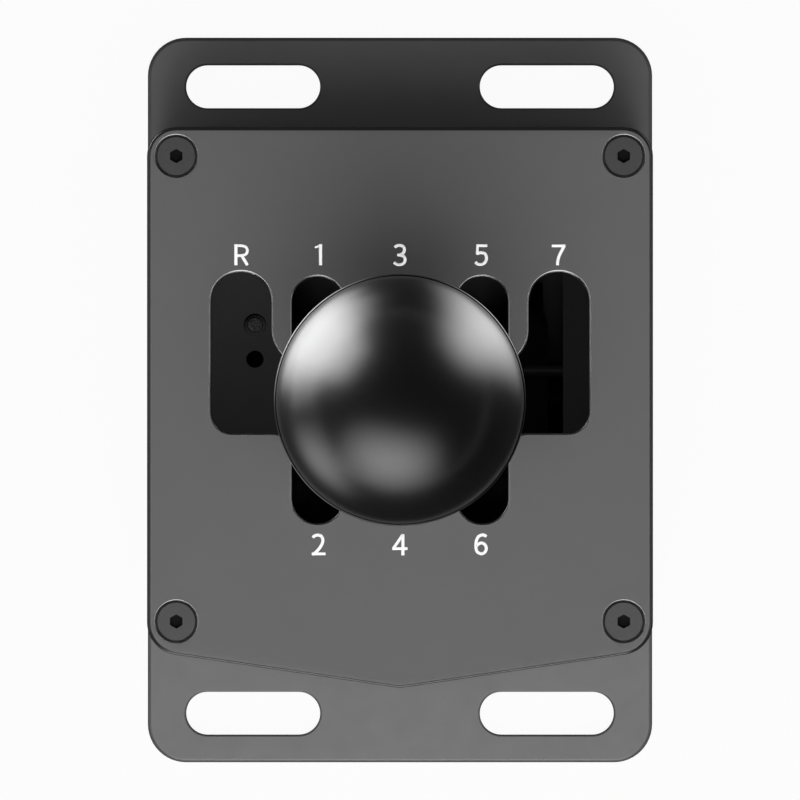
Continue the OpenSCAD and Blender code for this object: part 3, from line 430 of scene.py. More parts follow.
class StudioSettings(bpy.types.PropertyGroup):
    ambient: strength("Ambient", "Strength of the surrounding light", 0.05)
    zenith: strength("Ceiling", "Strength of the light from above", 0.035)
    overhead: strength("Overhead", "Brightness of the softbox above", 5.4)
    front: strength("Front", "Brightness of the high softbox in front", 3.5)
    sides: strength("Sides", "Brightness of the softboxes at the sides", 1.85)
    apron: strength("Apron", "Brightness of the light on the plate's front", 2.6)
    window: strength("Window", "Brightness of the light on the shelf", 1.9)
    numbers: strength("Numbers", "Brightness of the light on the gear numbers", 4.5)
    cards: strength("Cards", "Brightness of the cards round the walls", 0.8)
    edges: strength("Edge strips", "Brightness of the low strips", 7.0)


# The record's slot of each finish, its maker, the colour setting that it takes, and its details
FINISHES = {
    "powder_coat": ("powder_coated_steel", powder_coat, "plate"),
    "anodised_housing": ("black_anodised", anodised, "housing"),
    "anodised_shelf": ("black_anodised", anodised, "shelf"),
    "blacked_steel": (
        "black_steel", grained, "screw", 0.36, 0.5, (0.9, 0.2), (0.5, 0.3, 0.44), (0.2, 0.003, 0.3)),
    # Painted shade: the sockets take a darker colour than the screws
    "socket_black": ("black_steel", moulding, "socket", 0.08),
    # Painted shade: the rims' finishes take the darker rim colours
    "cut_rim": ("black_anodised", rim_with_painted_shade, "rim", 0.2, 2.9),
    "satin_rim": ("black_anodised", rim_with_painted_shade, "rim", 0.25, 1.5),
    "coated_rim": ("powder_coated_steel", rim_with_painted_shade, "coated_rim", 0.3, 1.5),
    "turned_steel": ("bright_steel", turned_metal, "steel", 0.26),
    "ground_steel": ("spring_steel", turned_metal, "spring", 0.34, (14.0, 1.0, 1.0)),
    "hard_anodised": ("hard_anodised", anodised, "cradle", 0.5),
    "sintered_bronze": ("bronze", turned_metal, "bronze", 0.42, (1.0, 1.0, 1.0)),
    "turned_brass": ("brass", turned_metal, "brass", 0.3),
    "solder_mask": ("circuit_board", solder_mask, "board"),
    "moulding": ("black_moulding", moulding, "plastic", 0.4),
    "knob_gloss": (
        "knob_black", grained, "knob", 0.3, 0.5, (6, 0.1), (2, 0.29, 0.31), (0.3, 0.0015, 0.2), 2.2),
    "printed_ink": (
        "white_print", grained, "ink", 0.55, 0.3, (0.5, 0.03), (0.5, 0.55, 0.55), (0.15, 0.002, 0.3)),
    "floor_paint": (None, floor_paint, "floor"),
}


def material_of(finish):
    """The material of a finish, made when it is first asked for."""
    slot, maker, setting, *details = FINISHES[finish]
    colours = bpy.context.scene.shifter_finish
    return bpy.data.materials.get(finish) or maker(finish, getattr(colours, setting), *details)


# Pieces copied from a CAD node, with their edges softened


def softened(node, finish, edge):
    """A copy of a CAD node with its edges rounded."""
    piece = settled_copy(plain_copy(node), node, finish)
    if edge > 0.0:
        rounding = piece.modifiers.new("edges", "BEVEL")
        rounding.width = edge
        rounding.segments = 2
        rounding.limit_method = "ANGLE"
        rounding.angle_limit = math.radians(SHARP)
        rounding.use_clamp_overlap = True
        rounding.miter_outer = "MITER_SHARP"
        settle(piece)
    dressed(piece, node, finish)


def soften_all(context, rows):
    """Softens nodes, given as rows of (finish, edge in small edges, names of the nodes)."""
    for finish, width, names in rows:
        for node in names.split():
            softened(node, finish, width * context.scene.shifter_size.small_edge)


def dressed(piece, node, finish):
    smooth_by_angle(piece.data)
    level_faces(piece)
    hand_over(piece, frame_body(node), finish, node)


def rounded_plate(node, finish, outer, inner, screws):
    """A copy of a plate whose upper rims are rounded, the holes of the given screws a little only.

    The outer rim and the inner rims have a finish and a radius each.
    """
    work = plain_copy(node)
    top = max(vert.co.z for vert in work.verts)
    lid = [face for face in work.faces if all(vert.co.z > top - 0.001 * MM for vert in face.verts)]
    flat = set(lid)
    ahead = {
        loop.vert: loop.link_loop_next.vert for face in lid for loop in face.loops
        if not flat.issuperset(loop.edge.link_faces)}
    bmesh.ops.delete(work, geom=lid, context="FACES")
    holes = [box for other in screws for box in solids(other)]
    rims = []
    left = min(vert.co.x for vert in ahead)
    while ahead:
        start, after = ahead.popitem()
        rim = [start]
        while after is not start:
            rim.append(after)
            after = ahead.pop(after)
        if all(any(beside(vert.co, box) for box in holes) for vert in rim):
            rims.extend(rounded_rim(work, rim, HOLE_EDGE, 2))
        elif min(vert.co.x for vert in rim) < left + 0.001 * MM:
            rims.extend(rounded_rim(work, rim, outer[1], 1))
        else:
            rims.extend(rounded_rim(work, rim, inner[1], 2))
    bmesh.ops.triangle_fill(
        work, use_beauty=True, use_dissolve=False, edges=rims, normal=Vector((0.0, 0.0, 1.0)))
    dressed(settled_copy(work, node, finish, outer[0], inner[0]), node, finish)


def rounded_rim(work, rim, radius, material):
    """Lowers a rim that has the plate on its left, and adds a quarter round up to the flat top.

    It returns the edges where the flat top starts.
    """
    places = [vert.co.copy() for vert in rim]
    inwards = []
    for before, place, after in zip(places[-1:] + places[:-1], places, places[1:] + places[:1]):
        one, two = (place - before).normalized(), (after - place).normalized()
        left = Vector((-one.y - two.y, one.x + two.x, 0.0)).normalized()
        inwards.append(left / max(left.dot(Vector((-one.y, one.x, 0.0))), 0.2))
    row = rim
    for step in range(1, RIM_STEPS + 1):
        turn = 0.5 * math.pi * step / RIM_STEPS
        lift = Vector((0.0, 0.0, radius * (math.sin(turn) - 1.0)))
        above = [
            work.verts.new(place + inward * radius * (1.0 - math.cos(turn)) + lift)
            for place, inward in zip(places, inwards)]
        for i in range(len(row)):
            k = (i + 1) % len(row)
            work.faces.new((row[i], row[k], above[k], above[i])).material_index = material
        row = above
    for vert in rim:
        vert.co.z -= radius
    return [work.edges.get((row[i - 1], row[i])) for i in range(len(row))]


def settled_copy(work, node, *its_finishes):
    """The worked mesh as a piece, with its finishes in order."""
    mesh = bpy.data.meshes.new("finished_" + node)
    work.to_mesh(mesh)
    work.free()
    for finish in its_finishes:
        mesh.materials.append(material_of(finish))
    return new_piece("finished_" + node, mesh)


def beside(point, box):
    """Whether a point lies over or under a screw's box, or just beside it."""
    low, high = box
    return all(low[i] - 0.5 * MM < point[i] < high[i] + 0.5 * MM for i in (0, 1))


def frame_body(node):
    return nodes[node]["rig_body"]


# Geometry node trees


class Tree(Graph):
    """A geometry node tree with numbers as inputs that ends in Realize Instances and Set Material."""

    def __init__(self, name, numbers):
        super().__init__(bpy.data.node_groups.new(name, "GeometryNodeTree"))
        self.tree.is_modifier = True
        self.tree.interface.new_socket("Geometry", in_out="OUTPUT", socket_type="NodeSocketGeometry")
        self.input("Geometry", "Geometry")
        for label, default in numbers.items():
            self.input(label, "Int" if isinstance(default, int) else "Float").default_value = default
        for label in ("Finish", "Recess"):
            self.input(label, "Material")
        self.given = self.tree.nodes.new("NodeGroupInput").outputs
        self.end = self.tree.nodes.new("NodeGroupOutput")

    def shape(self, kind, *values, **settings):
        return self.add("GeometryNode" + kind, *values, **settings)

    def input(self, label, kind):
        return self.tree.interface.new_socket(label, in_out="INPUT", socket_type="NodeSocket" + kind)

    def raised(self, geometry, z):
        offset = self.add("ShaderNodeCombineXYZ", {"Z": z})
        return self.shape("Transform", {"Geometry": geometry, "Translation": offset})

    def attribute(self, name, kind):
        return self.shape("InputNamedAttribute", {"Name": name}, data_type=kind)

    def on_points(self, shape):
        """The shape on each point, with its Z along the point's outward direction."""
        aim = self.add("FunctionNodeAlignRotationToVector", {
            "Vector": self.attribute("outwards", "FLOAT_VECTOR")}, axis="Z")
        return self.shape("InstanceOnPoints", {
            "Points": self.given["Geometry"], "Instance": shape, "Rotation": aim})

    def finish(self, geometry):
        real = self.shape("RealizeInstances", {"Geometry": geometry})
        dressed = self.shape("SetMaterial", {
            "Geometry": real, "Material": self.given["Finish"]})
        dressed = self.shape("SetMaterial", {
            "Geometry": dressed, "Selection": self.attribute("recess", "BOOLEAN"),
            "Material": self.given["Recess"]})
        self.tree.links.new(dressed, self.end.inputs[0])
        return self.tree

    def recessed(self, mesh):
        return self.shape("StoreNamedAttribute", {
            "Geometry": mesh, "Name": "recess", "Value": True}, data_type="BOOLEAN", domain="FACE")


def run_tree(tree, name, points, values, vectors=None, numbers=None, pairs=()):
    """Runs a tree on an object made of points and keeps the result as a plain mesh."""
    mesh = bpy.data.meshes.new(name)
    mesh.from_pydata([tuple(point) for point in points], pairs, [])
    for label, amounts in (numbers or {}).items():
        mesh.attributes.new(label, "FLOAT", "POINT").data.foreach_set("value", amounts)
    for label, directions in (vectors or {}).items():
        store = mesh.attributes.new(label, "FLOAT_VECTOR", "POINT")
        for i, direction in enumerate(directions):
            store.data[i].vector = direction
    piece = new_piece(name, mesh)
    modifier = piece.modifiers.new(name, "NODES")
    modifier.node_group = tree
    identifiers = {
        item.name: item.identifier for item in tree.interface.items_tree
        if item.item_type == "SOCKET" and item.in_out == "INPUT"}
    for label, value in values.items():
        modifier[identifiers[label]] = value
    settle(piece)
    return piece


def screw_tree():
    """Countersunk screws with a hexagon socket, one on each point, along its direction."""
    tree = Tree("socket_screws", {
        "Head diameter": 8 * MM, "Thread diameter": 4 * MM, "Length": 14 * MM, "Key width": 2.5 * MM,
        "Rim height": 0.3 * MM, "Edge": 0.25 * MM, "Socket depth": 1.8 * MM,
        "Socket turn": math.pi / 6, "Sides": 48})
    head = tree.maths("DIVIDE", tree.given["Head diameter"], 2.0)
    thread = tree.maths("DIVIDE", tree.given["Thread diameter"], 2.0)
    key = tree.maths("DIVIDE", tree.given["Key width"], math.sqrt(3.0))
    edge, rim, depth = (tree.given[label] for label in ("Edge", "Rim height", "Socket depth"))
    sides = tree.given["Sides"]
    face = tree.maths("SUBTRACT", head, edge)
    cone = tree.maths("SUBTRACT", head, thread)
    edge_z, floor_z, tip_z = (
        tree.maths("SUBTRACT", 0.0, down) for down in (edge, depth, tree.given["Length"]))
    rim_z = tree.maths("SUBTRACT", edge_z, rim)
    cone_z = tree.maths("SUBTRACT", rim_z, cone)
    shank = tree.maths("SUBTRACT", cone_z, tip_z)

    def wall(top, bottom, height, z, count):
        return tree.raised(tree.shape("MeshCone", {
            "Vertices": count, "Radius Top": top, "Radius Bottom": bottom, "Depth": height},
            fill_type="NONE"), z)

    def disc(radius, z, count):
        return tree.raised(tree.shape("MeshCircle", {
            "Vertices": count, "Radius": radius}, fill_type="NGON"), z)

    def flipped(mesh):
        return tree.shape("FlipFaces", {"Mesh": mesh})

    rings = [
        tree.shape("CurvePrimitiveCircle", {"Resolution": count, "Radius": radius})
        for count, radius in ((sides, face), (6, key))]
    top = tree.shape("FillCurve", {
        0: tree.shape("JoinGeometry", {0: rings})}, mode="TRIANGLES")
    parts = [
        top, tree.recessed(disc(key, floor_z, 6)), flipped(disc(thread, tip_z, sides)),
        tree.recessed(flipped(wall(key, key, depth, floor_z, 6))),
        wall(face, head, edge, edge_z, sides), wall(head, head, rim, rim_z, sides),
        wall(head, thread, cone, cone_z, sides), wall(thread, thread, shank, tip_z, sides)]
    screw = tree.shape("MergeByDistance", {
        "Geometry": tree.shape("JoinGeometry", {0: parts}), "Distance": 0.002 * MM})
    turn = tree.add("ShaderNodeCombineXYZ", {"Z": tree.given["Socket turn"]})
    screw = tree.shape("Transform", {"Geometry": screw, "Rotation": turn})
    return tree.finish(tree.on_points(screw))


def spring_tree():
    """Coil springs of round wire, one on each point, along its direction."""
    tree = Tree("coil_springs", {
        "Coil radius": 2 * MM, "Wire diameter": 0.8 * MM, "Free length": 12 * MM, "Turns": 6.0,
        "Turn steps": 28, "Wire sides": 10})
    radius = tree.given["Coil radius"]
    wire = tree.maths("DIVIDE", tree.given["Wire diameter"], 2.0)
    height = tree.maths("SUBTRACT", tree.given["Free length"], tree.given["Wire diameter"])
    path = tree.shape("CurveSpiral", {
        "Resolution": tree.given["Turn steps"], "Rotations": tree.given["Turns"],
        "Start Radius": radius, "End Radius": radius, "Height": height})
    round_wire = tree.shape("CurvePrimitiveCircle", {
        "Resolution": tree.given["Wire sides"], "Radius": wire})
    return tree.finish(tree.on_points(tree.shape("CurveToMesh", {
        "Curve": tree.raised(path, wire), "Profile Curve": round_wire, "Fill Caps": True})))


def contact_tree():
    """Spring contacts side by side in the cable socket."""
    tree = Tree("socket_contacts", {
        "Count": 6, "Pitch": 1.27 * MM, "Strip width": 0.45 * MM, "Strip length": 6 * MM,
        "Strip thickness": 0.3 * MM})
    step = tree.add("ShaderNodeCombineXYZ", {"X": tree.given["Pitch"]})
    row = tree.shape("MeshLine", {"Count": tree.given["Count"], "Offset": step})
    size = tree.add("ShaderNodeCombineXYZ", {
        axis: tree.given["Strip " + side] for axis, side in zip("XYZ", ("width", "length", "thickness"))})
    strip = tree.shape("MeshCube", {"Size": size})
    strips = tree.shape("InstanceOnPoints", {"Points": row, "Instance": strip})
    return tree.finish(tree.shape("InstanceOnPoints", {
        "Points": tree.given["Geometry"], "Instance": strips}))


def stroke_tree():
    """Flat printed strokes that follow chains of points, each with its own width."""
    tree = Tree("printed_strokes", {"Thickness": 0.04 * MM, "Steps": 8})
    path = tree.shape("MeshToCurve", {0: tree.given["Geometry"]})
    path = tree.shape("CurveSplineType", {0: path}, spline_type="CATMULL_ROM")
    path = tree.shape("SetSplineResolution", {
        "Geometry": path, "Resolution": tree.given["Steps"]})
    path = tree.shape("SetCurveNormal", {0: path}, mode="Z_UP")
    flat = tree.maths("DIVIDE", tree.given["Thickness"], 0.6 * MM)
    bar = tree.shape("CurvePrimitiveQuadrilateral", {"Width": 1.0, "Height": flat})
    strokes = tree.shape("CurveToMesh", {
        "Curve": path, "Profile Curve": bar, "Fill Caps": True,
        "Scale": tree.attribute("stroke_width", "FLOAT")})
    return tree.finish(tree.raised(strokes, tree.maths("DIVIDE", tree.given["Thickness"], 2.0)))


# Turned pieces


def lathe(name, profile, sides):
    """Turns a profile of (radius, height) about Z; points on the axis become poles."""
    work = bmesh.new()
    rings = []
    for radius, z in profile:
        turns = [2 * math.pi * i / sides for i in range(sides)] if radius > 1e-9 else [0.0]
        rings.append([
            work.verts.new((radius * math.cos(turn), radius * math.sin(turn), z)) for turn in turns])
    closed = len(rings[0]) > 1 and len(rings[-1]) > 1
    pairs = list(zip(rings, rings[1:])) + ([(rings[-1], rings[0])] if closed else [])
    for low, high in pairs:
        for i in range(sides):
            j = (i + 1) % sides
            corners = [low[i % len(low)], low[j % len(low)], high[j % len(high)], high[i % len(high)]]
            face = list(dict.fromkeys(corners))
            if len(face) > 2:
                work.faces.new(face)
    bmesh.ops.recalc_face_normals(work, faces=work.faces)
    mesh = bpy.data.meshes.new(name)
    work.to_mesh(mesh)
    work.free()
    return new_piece(name, mesh)


def arc(centre, radius, start, end, steps):
    """Points of (radius, height) on an arc, from one angle in degrees to another."""
    return [
        (centre[0] + radius * math.cos(math.radians(start + (end - start) * i / steps)),
         centre[1] + radius * math.sin(math.radians(start + (end - start) * i / steps)))
        for i in range(steps + 1)]


# Operators


class SHIFTER_OT_studio(bpy.types.Operator):
    """Makes the camera, the white floor, the surrounding light and the softboxes"""

    bl_idname = "shifter.studio"
    bl_label = "Studio"

    def execute(self, context):
        studio = context.scene.shifter_studio
        self.camera(context)
        self.world(context, studio)
        floor = self.floor()
        gate = Vector((0.0, 0.0, GATE_TOP))
        knob = Vector((0.0, 0.0, KNOB_SEAM))
        shelf = Vector((0.0, 0.0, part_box("left_shelf")[1].z))
        ball = ("knob_body", "knob_ball_cap")
        gate_plate = ("finished_gate_plate", "gate_screws_turned")
        base_plate = ("finished_mounting_plate",)
        walls, inside = (
            [piece.name for piece in bpy.data.objects if piece.name.startswith(names)]
            for names in (WALLS, INSIDE))
        floor.light_linking.receiver_collection = self.linked(
            "dark_to_the_floor", ball + gate_plate + base_plate, "EXCLUDE")
        outside = self.linked("all_outside", (*ball, *inside, *WINDOW), "EXCLUDE")
        shine = self.linked("shines_on_knob", ball)
        edges = self.linked("edges_of_the_gate", gate_plate)
        apron = self.linked("mounting_plate_only", base_plate)
        ink = self.linked("numbers_only", ("gate_numbers",))
        around = self.linked("walls_only", walls)
        window = self.linked("seen_in_the_lanes", WINDOW)
        wide = (0.60, 0.40)
        # Where the lamps look, what they light and what alone throws shadows in their light, then for each
        # its name, compass and height angle, distance, size, brightness and faded share
        groups = (
            (gate, outside, None, (
                ("overhead_softbox", 270, 77, 1.5, (0.86, 0.68), studio.overhead, 0.3),
                ("front_softbox", 270, 52, 0.9, (0.60, 0.50), studio.front, 0.5),
                ("left_softbox", 180, 35, 0.8, wide, studio.sides, 0.5),
                ("right_softbox", 0, 35, 0.8, wide, studio.sides, 0.5))),
            (gate, apron, None, (("apron_light", 270, 35, 0.6, (0.70, 0.40), studio.apron, 0.5),)),
            (shelf, window, window, (("window_light", 125, 60, 0.13, (0.06, 0.06), studio.window, 0.3),)),
            (gate, ink, ink, (("number_light", 90, 89, 0.6, (0.5, 0.5), studio.numbers, 0.3),)),
            (gate, around, None, (
                ("front_card", 270, 15, 0.6, wide, studio.cards, 0.5),
                ("left_card", 180, 20, 0.6, wide, studio.cards, 0.5),
                ("right_card", 0, 15, 0.6, wide, studio.cards, 0.5),
                ("rear_card", 90, 15, 0.6, wide, studio.cards, 0.5))),
            (gate, edges, None, (
                ("front_strip", 262, -6, 0.6, (0.70, 0.36), 1.2 * studio.edges, 0.4),
                ("rear_left_strip", 143, -10, 0.6, (0.5, 0.5), 1.25 * studio.edges, 0.6),
                ("rear_right_strip", 37, -10, 0.6, (0.45, 0.40), 0.5 * studio.edges, 0.6))),
            (knob, shine, shine, (
                ("left_highlight", 142.4, -10.6, 0.15, (0.199, 0.480), 4.1, 0.80),
                ("left_halo", 143.9, -14.5, 0.30, (0.558, 0.310), 1.08, 0.45),
                ("right_highlight", 39.5, -17.8, 0.15, (0.189, 0.423), 3.4, 0.98),
                ("front_highlight", 259.7, 31.5, 0.30, (0.679, 0.496), 1.65, 0.98),
                ("low_left_highlight", 217.4, -11.3, 0.20, (0.232, 0.224), 1.22, 0.98),
                ("rim_highlight", 122.8, -85.0, 0.30, (0.131, 0.040), 20.0, 0.98))))
        for target, lit, blocking, lamps in groups:
            for row in lamps:
                lamp = self.softbox(target, *row)
                lamp.light_linking.receiver_collection = lit
                if blocking:
                    lamp.light_linking.blocker_collection = blocking
        return {"FINISHED"}

    def floor(self):
        floor = new_piece("studio_floor", bpy.data.meshes.new("studio_floor"))
        half, z = 40.0, -0.2 * MM
        floor.data.from_pydata(
            [(-half, -half, z), (half, -half, z), (half, half, z), (-half, half, z)], [], [(0, 1, 2, 3)])
        floor.data.materials.append(material_of("floor_paint"))
        return floor

    def camera(self, context):
        """Straight above, with a frame 160 mm across at the gate plate."""
        data = bpy.data.cameras.new("photo_camera")
        distance, across = 4.44, 0.16
        data.sensor_width = 36.0
        data.lens = data.sensor_width * distance / across
        data.clip_end = 50.0
        camera = bpy.data.objects.new("photo_camera", data)
        camera.location = (0.0, 0.0, GATE_TOP + distance)
        context.scene.collection.objects.link(camera)
        context.scene.camera = camera
        context.scene.view_settings.view_transform = "Standard"

    def world(self, context, studio):
        """Soft light from all round, darker above, with a white skyline behind the floor."""
        world = bpy.data.worlds.new("studio_world")
        context.scene.world = world
        world.use_nodes = True
        graph = Graph(world.node_tree)
        graph.tree.nodes.clear()
        place = graph.add("ShaderNodeTexCoord", out="Generated")
        height = graph.add("ShaderNodeSeparateXYZ", {"Vector": place}, out="Z")
        level = graph.add("ShaderNodeMix", {
            "Factor": graph.background_rays(),
            "A": graph.ranged(height, 0.2, 0.95, studio.ambient, studio.zenith),
            "B": graph.ranged(height, 0.016, 0.022, 1.0, studio.zenith)}, out="Result", data_type="FLOAT")
        graph.node("ShaderNodeOutputWorld", {
            "Surface": graph.add("ShaderNodeBackground", {"Strength": level})})

    def linked(self, name, pieces, state="INCLUDE"):
        """A collection for light linking that takes in, or leaves out, the named pieces."""
        group = bpy.data.collections.new(name)
        for piece in pieces:
            group.objects.link(bpy.data.objects[piece])
        for member in group.collection_objects:
            member.light_linking.link_state = state
        return group

    def fade(self, data, soft):
        """Lets a softbox fade towards its edges, over that share of its half width."""
        data.use_nodes = True
        graph = Graph(data.node_tree)
        apart = graph.node("ShaderNodeSeparateXYZ", {
            "Vector": graph.add("ShaderNodeNewGeometry", out="Parametric")}).outputs
        across, along = (
            graph.ranged(graph.maths("ABSOLUTE", graph.maths("SUBTRACT", apart[axis], 0.5)),
                         0.5 - soft / 2, 0.5, 1.0, 0.0, interpolation_type="SMOOTHSTEP")
            for axis in ("X", "Y"))
        graph.tree.links.new(
            graph.maths("MULTIPLY", across, along), graph.tree.nodes["Emission"].inputs["Strength"])

    def softbox(self, target, name, azimuth, elevation, distance, size, brightness, soft):
        """A rectangular lamp that looks at a point from a compass angle and a height angle."""
        turn, rise = math.radians(azimuth), math.radians(elevation)
        away = Vector((math.cos(turn) * math.cos(rise), math.sin(turn) * math.cos(rise), math.sin(rise)))
        data = bpy.data.lights.new(name, "AREA")
        data.shape = "RECTANGLE"
        data.size, data.size_y = size
        data.energy = brightness * math.pi * size[0] * size[1]
        self.fade(data, soft)
        lamp = bpy.data.objects.new(name, data)
        lamp.location = target + away * distance
        lamp.rotation_euler = away.to_track_quat("Z", "Y").to_euler()
        lamp.visible_camera = False
        bpy.context.scene.collection.objects.link(lamp)
        return lamp


class SHIFTER_OT_plates(bpy.types.Operator):
    """Makes the mounting plate and the gate plate with rounded upper rims"""

    bl_idname = "shifter.plates"
    bl_label = "Plates"

    def execute(self, context):
        sizes = context.scene.shifter_size
        rounded_plate(
            "mounting_plate", "powder_coat", ("coated_rim", sizes.plate_edge),
            ("coated_rim", sizes.slot_edge), ("base_screws", "detent_housing_screws"))
        rounded_plate(
            "gate_plate", "anodised_housing", ("satin_rim", sizes.gate_edge),
            ("cut_rim", sizes.lane_edge), ("gate_screws",))
        return {"FINISHED"}


class SHIFTER_OT_housing(bpy.types.Operator):
    """Makes the side plates, covers and bearing caps with softened edges"""

    bl_idname = "shifter.housing"
    bl_label = "Housing"

    def execute(self, context):
        edge = context.scene.shifter_size.cover_edge
        for node in ("left_side_plate", "right_side_plate", "front_cover", "rear_cover"):
            softened(node, "anodised_housing", edge)
        for node in ("left_bearing_cap", "right_bearing_cap"):
            softened(node, "anodised_housing", edge / 2)
        return {"FINISHED"}


class SHIFTER_OT_gate_numbers(bpy.types.Operator):
    """Prints R and 1 to 7 on the gate plate beside their lanes"""

    bl_idname = "shifter.gate_numbers"
    bl_label = "Gate numbers"

    # Place of each number in millimetres, and its strokes as (width, points on the stroke)
    numbers = (
        (-31.8, 29.0, (
            (0.66, ((-1.03, 2.15), (-1.03, -2.05))),
            (0.56, ((-1.03, 1.87), (0.1, 1.87), (0.95, 1.6), (1.27, 0.87), (0.95, 0.15), (0.1, -0.1),
                    (-1.03, -0.1))),
            (0.6, ((0.15, -0.1), (1.28, -2.05))))),
        (-16.2, 29.0, (
            (0.66, ((0.3, 2.15), (0.3, -2.05))),
            (0.42, ((0.4, 1.92), (-0.15, 1.72), (-0.82, 1.5))))),
        (0.0, 29.0, (
            (0.6, ((-1.05, 1.5), (-0.7, 1.8), (-0.1, 1.92), (0.6, 1.7), (0.88, 1.05), (0.6, 0.35),
                   (0.05, 0.04), (-0.55, 0.0))),
            (0.6, ((-0.3, 0.0), (0.3, -0.08), (0.85, -0.4), (1.03, -1.0), (0.7, -1.7), (-0.1, -1.95),
                   (-0.75, -1.82), (-1.2, -1.45))))),
        (16.4, 29.0, (
            (0.56, ((-1.15, 1.87), (1.05, 1.87))),
            (0.54, ((-0.88, 2.1), (-0.98, 0.1))),
            (0.6, ((-1.02, 0.22), (-0.6, 0.42), (-0.1, 0.47), (0.6, 0.22), (0.9, -0.65), (0.55, -1.55),
                   (-0.25, -1.9), (-0.9, -1.78), (-1.35, -1.42))))),
        (31.8, 29.0, (
            (0.56, ((-1.45, 1.83), (1.3, 1.83))),
            (0.62, ((1.08, 1.9), (0.7, 1.15), (0.17, 0.15), (-0.15, -0.75), (-0.28, -1.5), (-0.3, -2.05))))),
        (-16.4, -29.0, (
            (0.6, ((-1.05, 1.48), (-0.65, 1.85), (0.0, 2.0), (0.7, 1.72), (0.97, 0.95), (0.75, 0.1),
                   (0.2, -0.75), (-0.45, -1.45), (-1.1, -1.95))),
            (0.58, ((-1.25, -1.76), (1.5, -1.76))))),
        (0.0, -29.0, (
            (0.62, ((0.58, 2.15), (0.58, -2.05))),
            (0.56, ((0.5, 2.0), (-1.35, -0.72))),
            (0.56, ((-1.55, -0.72), (1.5, -0.72))))),
        (16.2, -29.0, (
            (0.6, ((1.08, 1.68), (0.75, 1.92), (0.25, 2.02), (-0.5, 1.7), (-0.93, 0.85), (-1.03, 0.0),
                   (-0.98, -0.8), (-0.7, -1.4), (0.05, -1.75), (0.75, -1.45), (1.06, -0.65), (0.75, 0.12),
                   (0.1, 0.42), (-0.5, 0.2), (-0.9, -0.2))),)),
    )

    def execute(self, context):
        points, pairs, widths = [], [], []
        for x, y, strokes in self.numbers:
            for layer, (width, spots) in enumerate(strokes):
                pairs += [(len(points) + i, len(points) + i + 1) for i in range(len(spots) - 1)]
                points += [((x + a) * MM, (y + b) * MM, GATE_TOP + layer * 0.002 * MM) for a, b in spots]
                widths += [width * MM] * len(spots)
        piece = run_tree(stroke_tree(), "gate_numbers", points, {
            "Thickness": context.scene.shifter_size.ink_thickness,
            "Finish": material_of("printed_ink")}, numbers={"stroke_width": widths}, pairs=pairs)
        hand_over(piece, "housing", "printed_ink")
        return {"FINISHED"}


class SHIFTER_OT_screws(bpy.types.Operator):
    """Puts countersunk screws with hexagon sockets on the places of the CAD screws"""

    bl_idname = "shifter.screws"
    bl_label = "Countersunk screws"

    # Node, the way its heads look, and thread, key, length and head in millimetres
    kinds = (
        ("gate_screws", "up", 4.0, 2.5, 14.0, 8.0), ("base_screws", "down", 5.0, 3.0, 16.0, 9.2),
        ("detent_housing_screws", "down", 4.0, 2.5, 14.0, 8.0),
        ("cover_screws", "out", 3.0, 2.0, 16.0, 6.0), ("shelf_screws", "out", 3.0, 2.0, 15.5, 6.0),
        ("bearing_cap_screws", "out", 2.5, 1.5, 6.0, 4.4))

    def execute(self, context):
        tree = screw_tree()
        for node, way, thread, key, long, head in self.kinds:
            points, ways = [], []
            for low, high in solids(node):
                point = (low + high) / 2
                if way == "out":
                    side = 1.0 if point.x > 0 else -1.0
                    point.x = high.x if side > 0 else low.x
                    ways.append(Vector((side, 0, 0)))
                else:
                    point.z = high.z if way == "up" else low.z
                    ways.append(Vector((0, 0, 1 if way == "up" else -1)))
                points.append(point)
            piece = run_tree(tree, node + "_turned", points, {
                "Head diameter": head * MM, "Thread diameter": thread * MM, "Length": long * MM,
                "Key width": key * MM, "Socket depth": (head - thread) / 2 * MM,
                "Finish": material_of("blacked_steel"), "Recess": material_of("socket_black")},
                {"outwards": ways})
            smooth_by_angle(piece.data)
            hand_over(piece, frame_body(node), "blacked_steel", node)
        return {"FINISHED"}


class SHIFTER_OT_springs(bpy.types.Operator):
    """Winds the five coil springs from round wire, each between the two bodies it pushes apart"""

    bl_idname = "shifter.springs"
    bl_label = "Springs"

    # Node, the way it is wound, radius and wire in millimetres, turns, and the bodies at its two ends
    kinds = (
        ("detent_spring_left", (0, 1, 0), 1.9, 0.9, 5, "left_plunger", "housing"),
        ("detent_spring_right", (0, 1, 0), 1.9, 0.9, 5, "right_plunger", "housing"),
        ("centring_spring_left", (-1, 0, 0), 2.3, 0.7, 9, "lever", "cradle"),
        ("centring_spring_right", (1, 0, 0), 2.3, 0.7, 9, "lever", "cradle"),
        ("reverse_return_spring", (0, 0, 1), 3.9, 0.9, 9, "lever", "knob_and_sleeve"))

    def execute(self, context):
        tree = spring_tree()
        for node, way, radius, wire, turns, start_body, end_body in self.kinds:
            low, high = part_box(node)
            way = Vector(way)
            middle = (low + high) / 2
            reach = abs(((high - low) / 2).dot(way))
            # The box of a coil lies a little beside its axis, which is on a whole millimetre
            for axis in range(3):
                if way[axis] == 0:
                    middle[axis] = round(middle[axis] / MM) * MM
            start = middle - way * reach
            piece = run_tree(tree, node + "_wound", [start], {
                "Coil radius": radius * MM, "Wire diameter": wire * MM, "Free length": 2 * reach,
                "Turns": float(turns), "Finish": material_of("ground_steel")}, {"outwards": [way]})
            smooth_by_angle(piece.data, 40.0)
            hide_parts(node)
            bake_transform(piece)
        return {"FINISHED"}


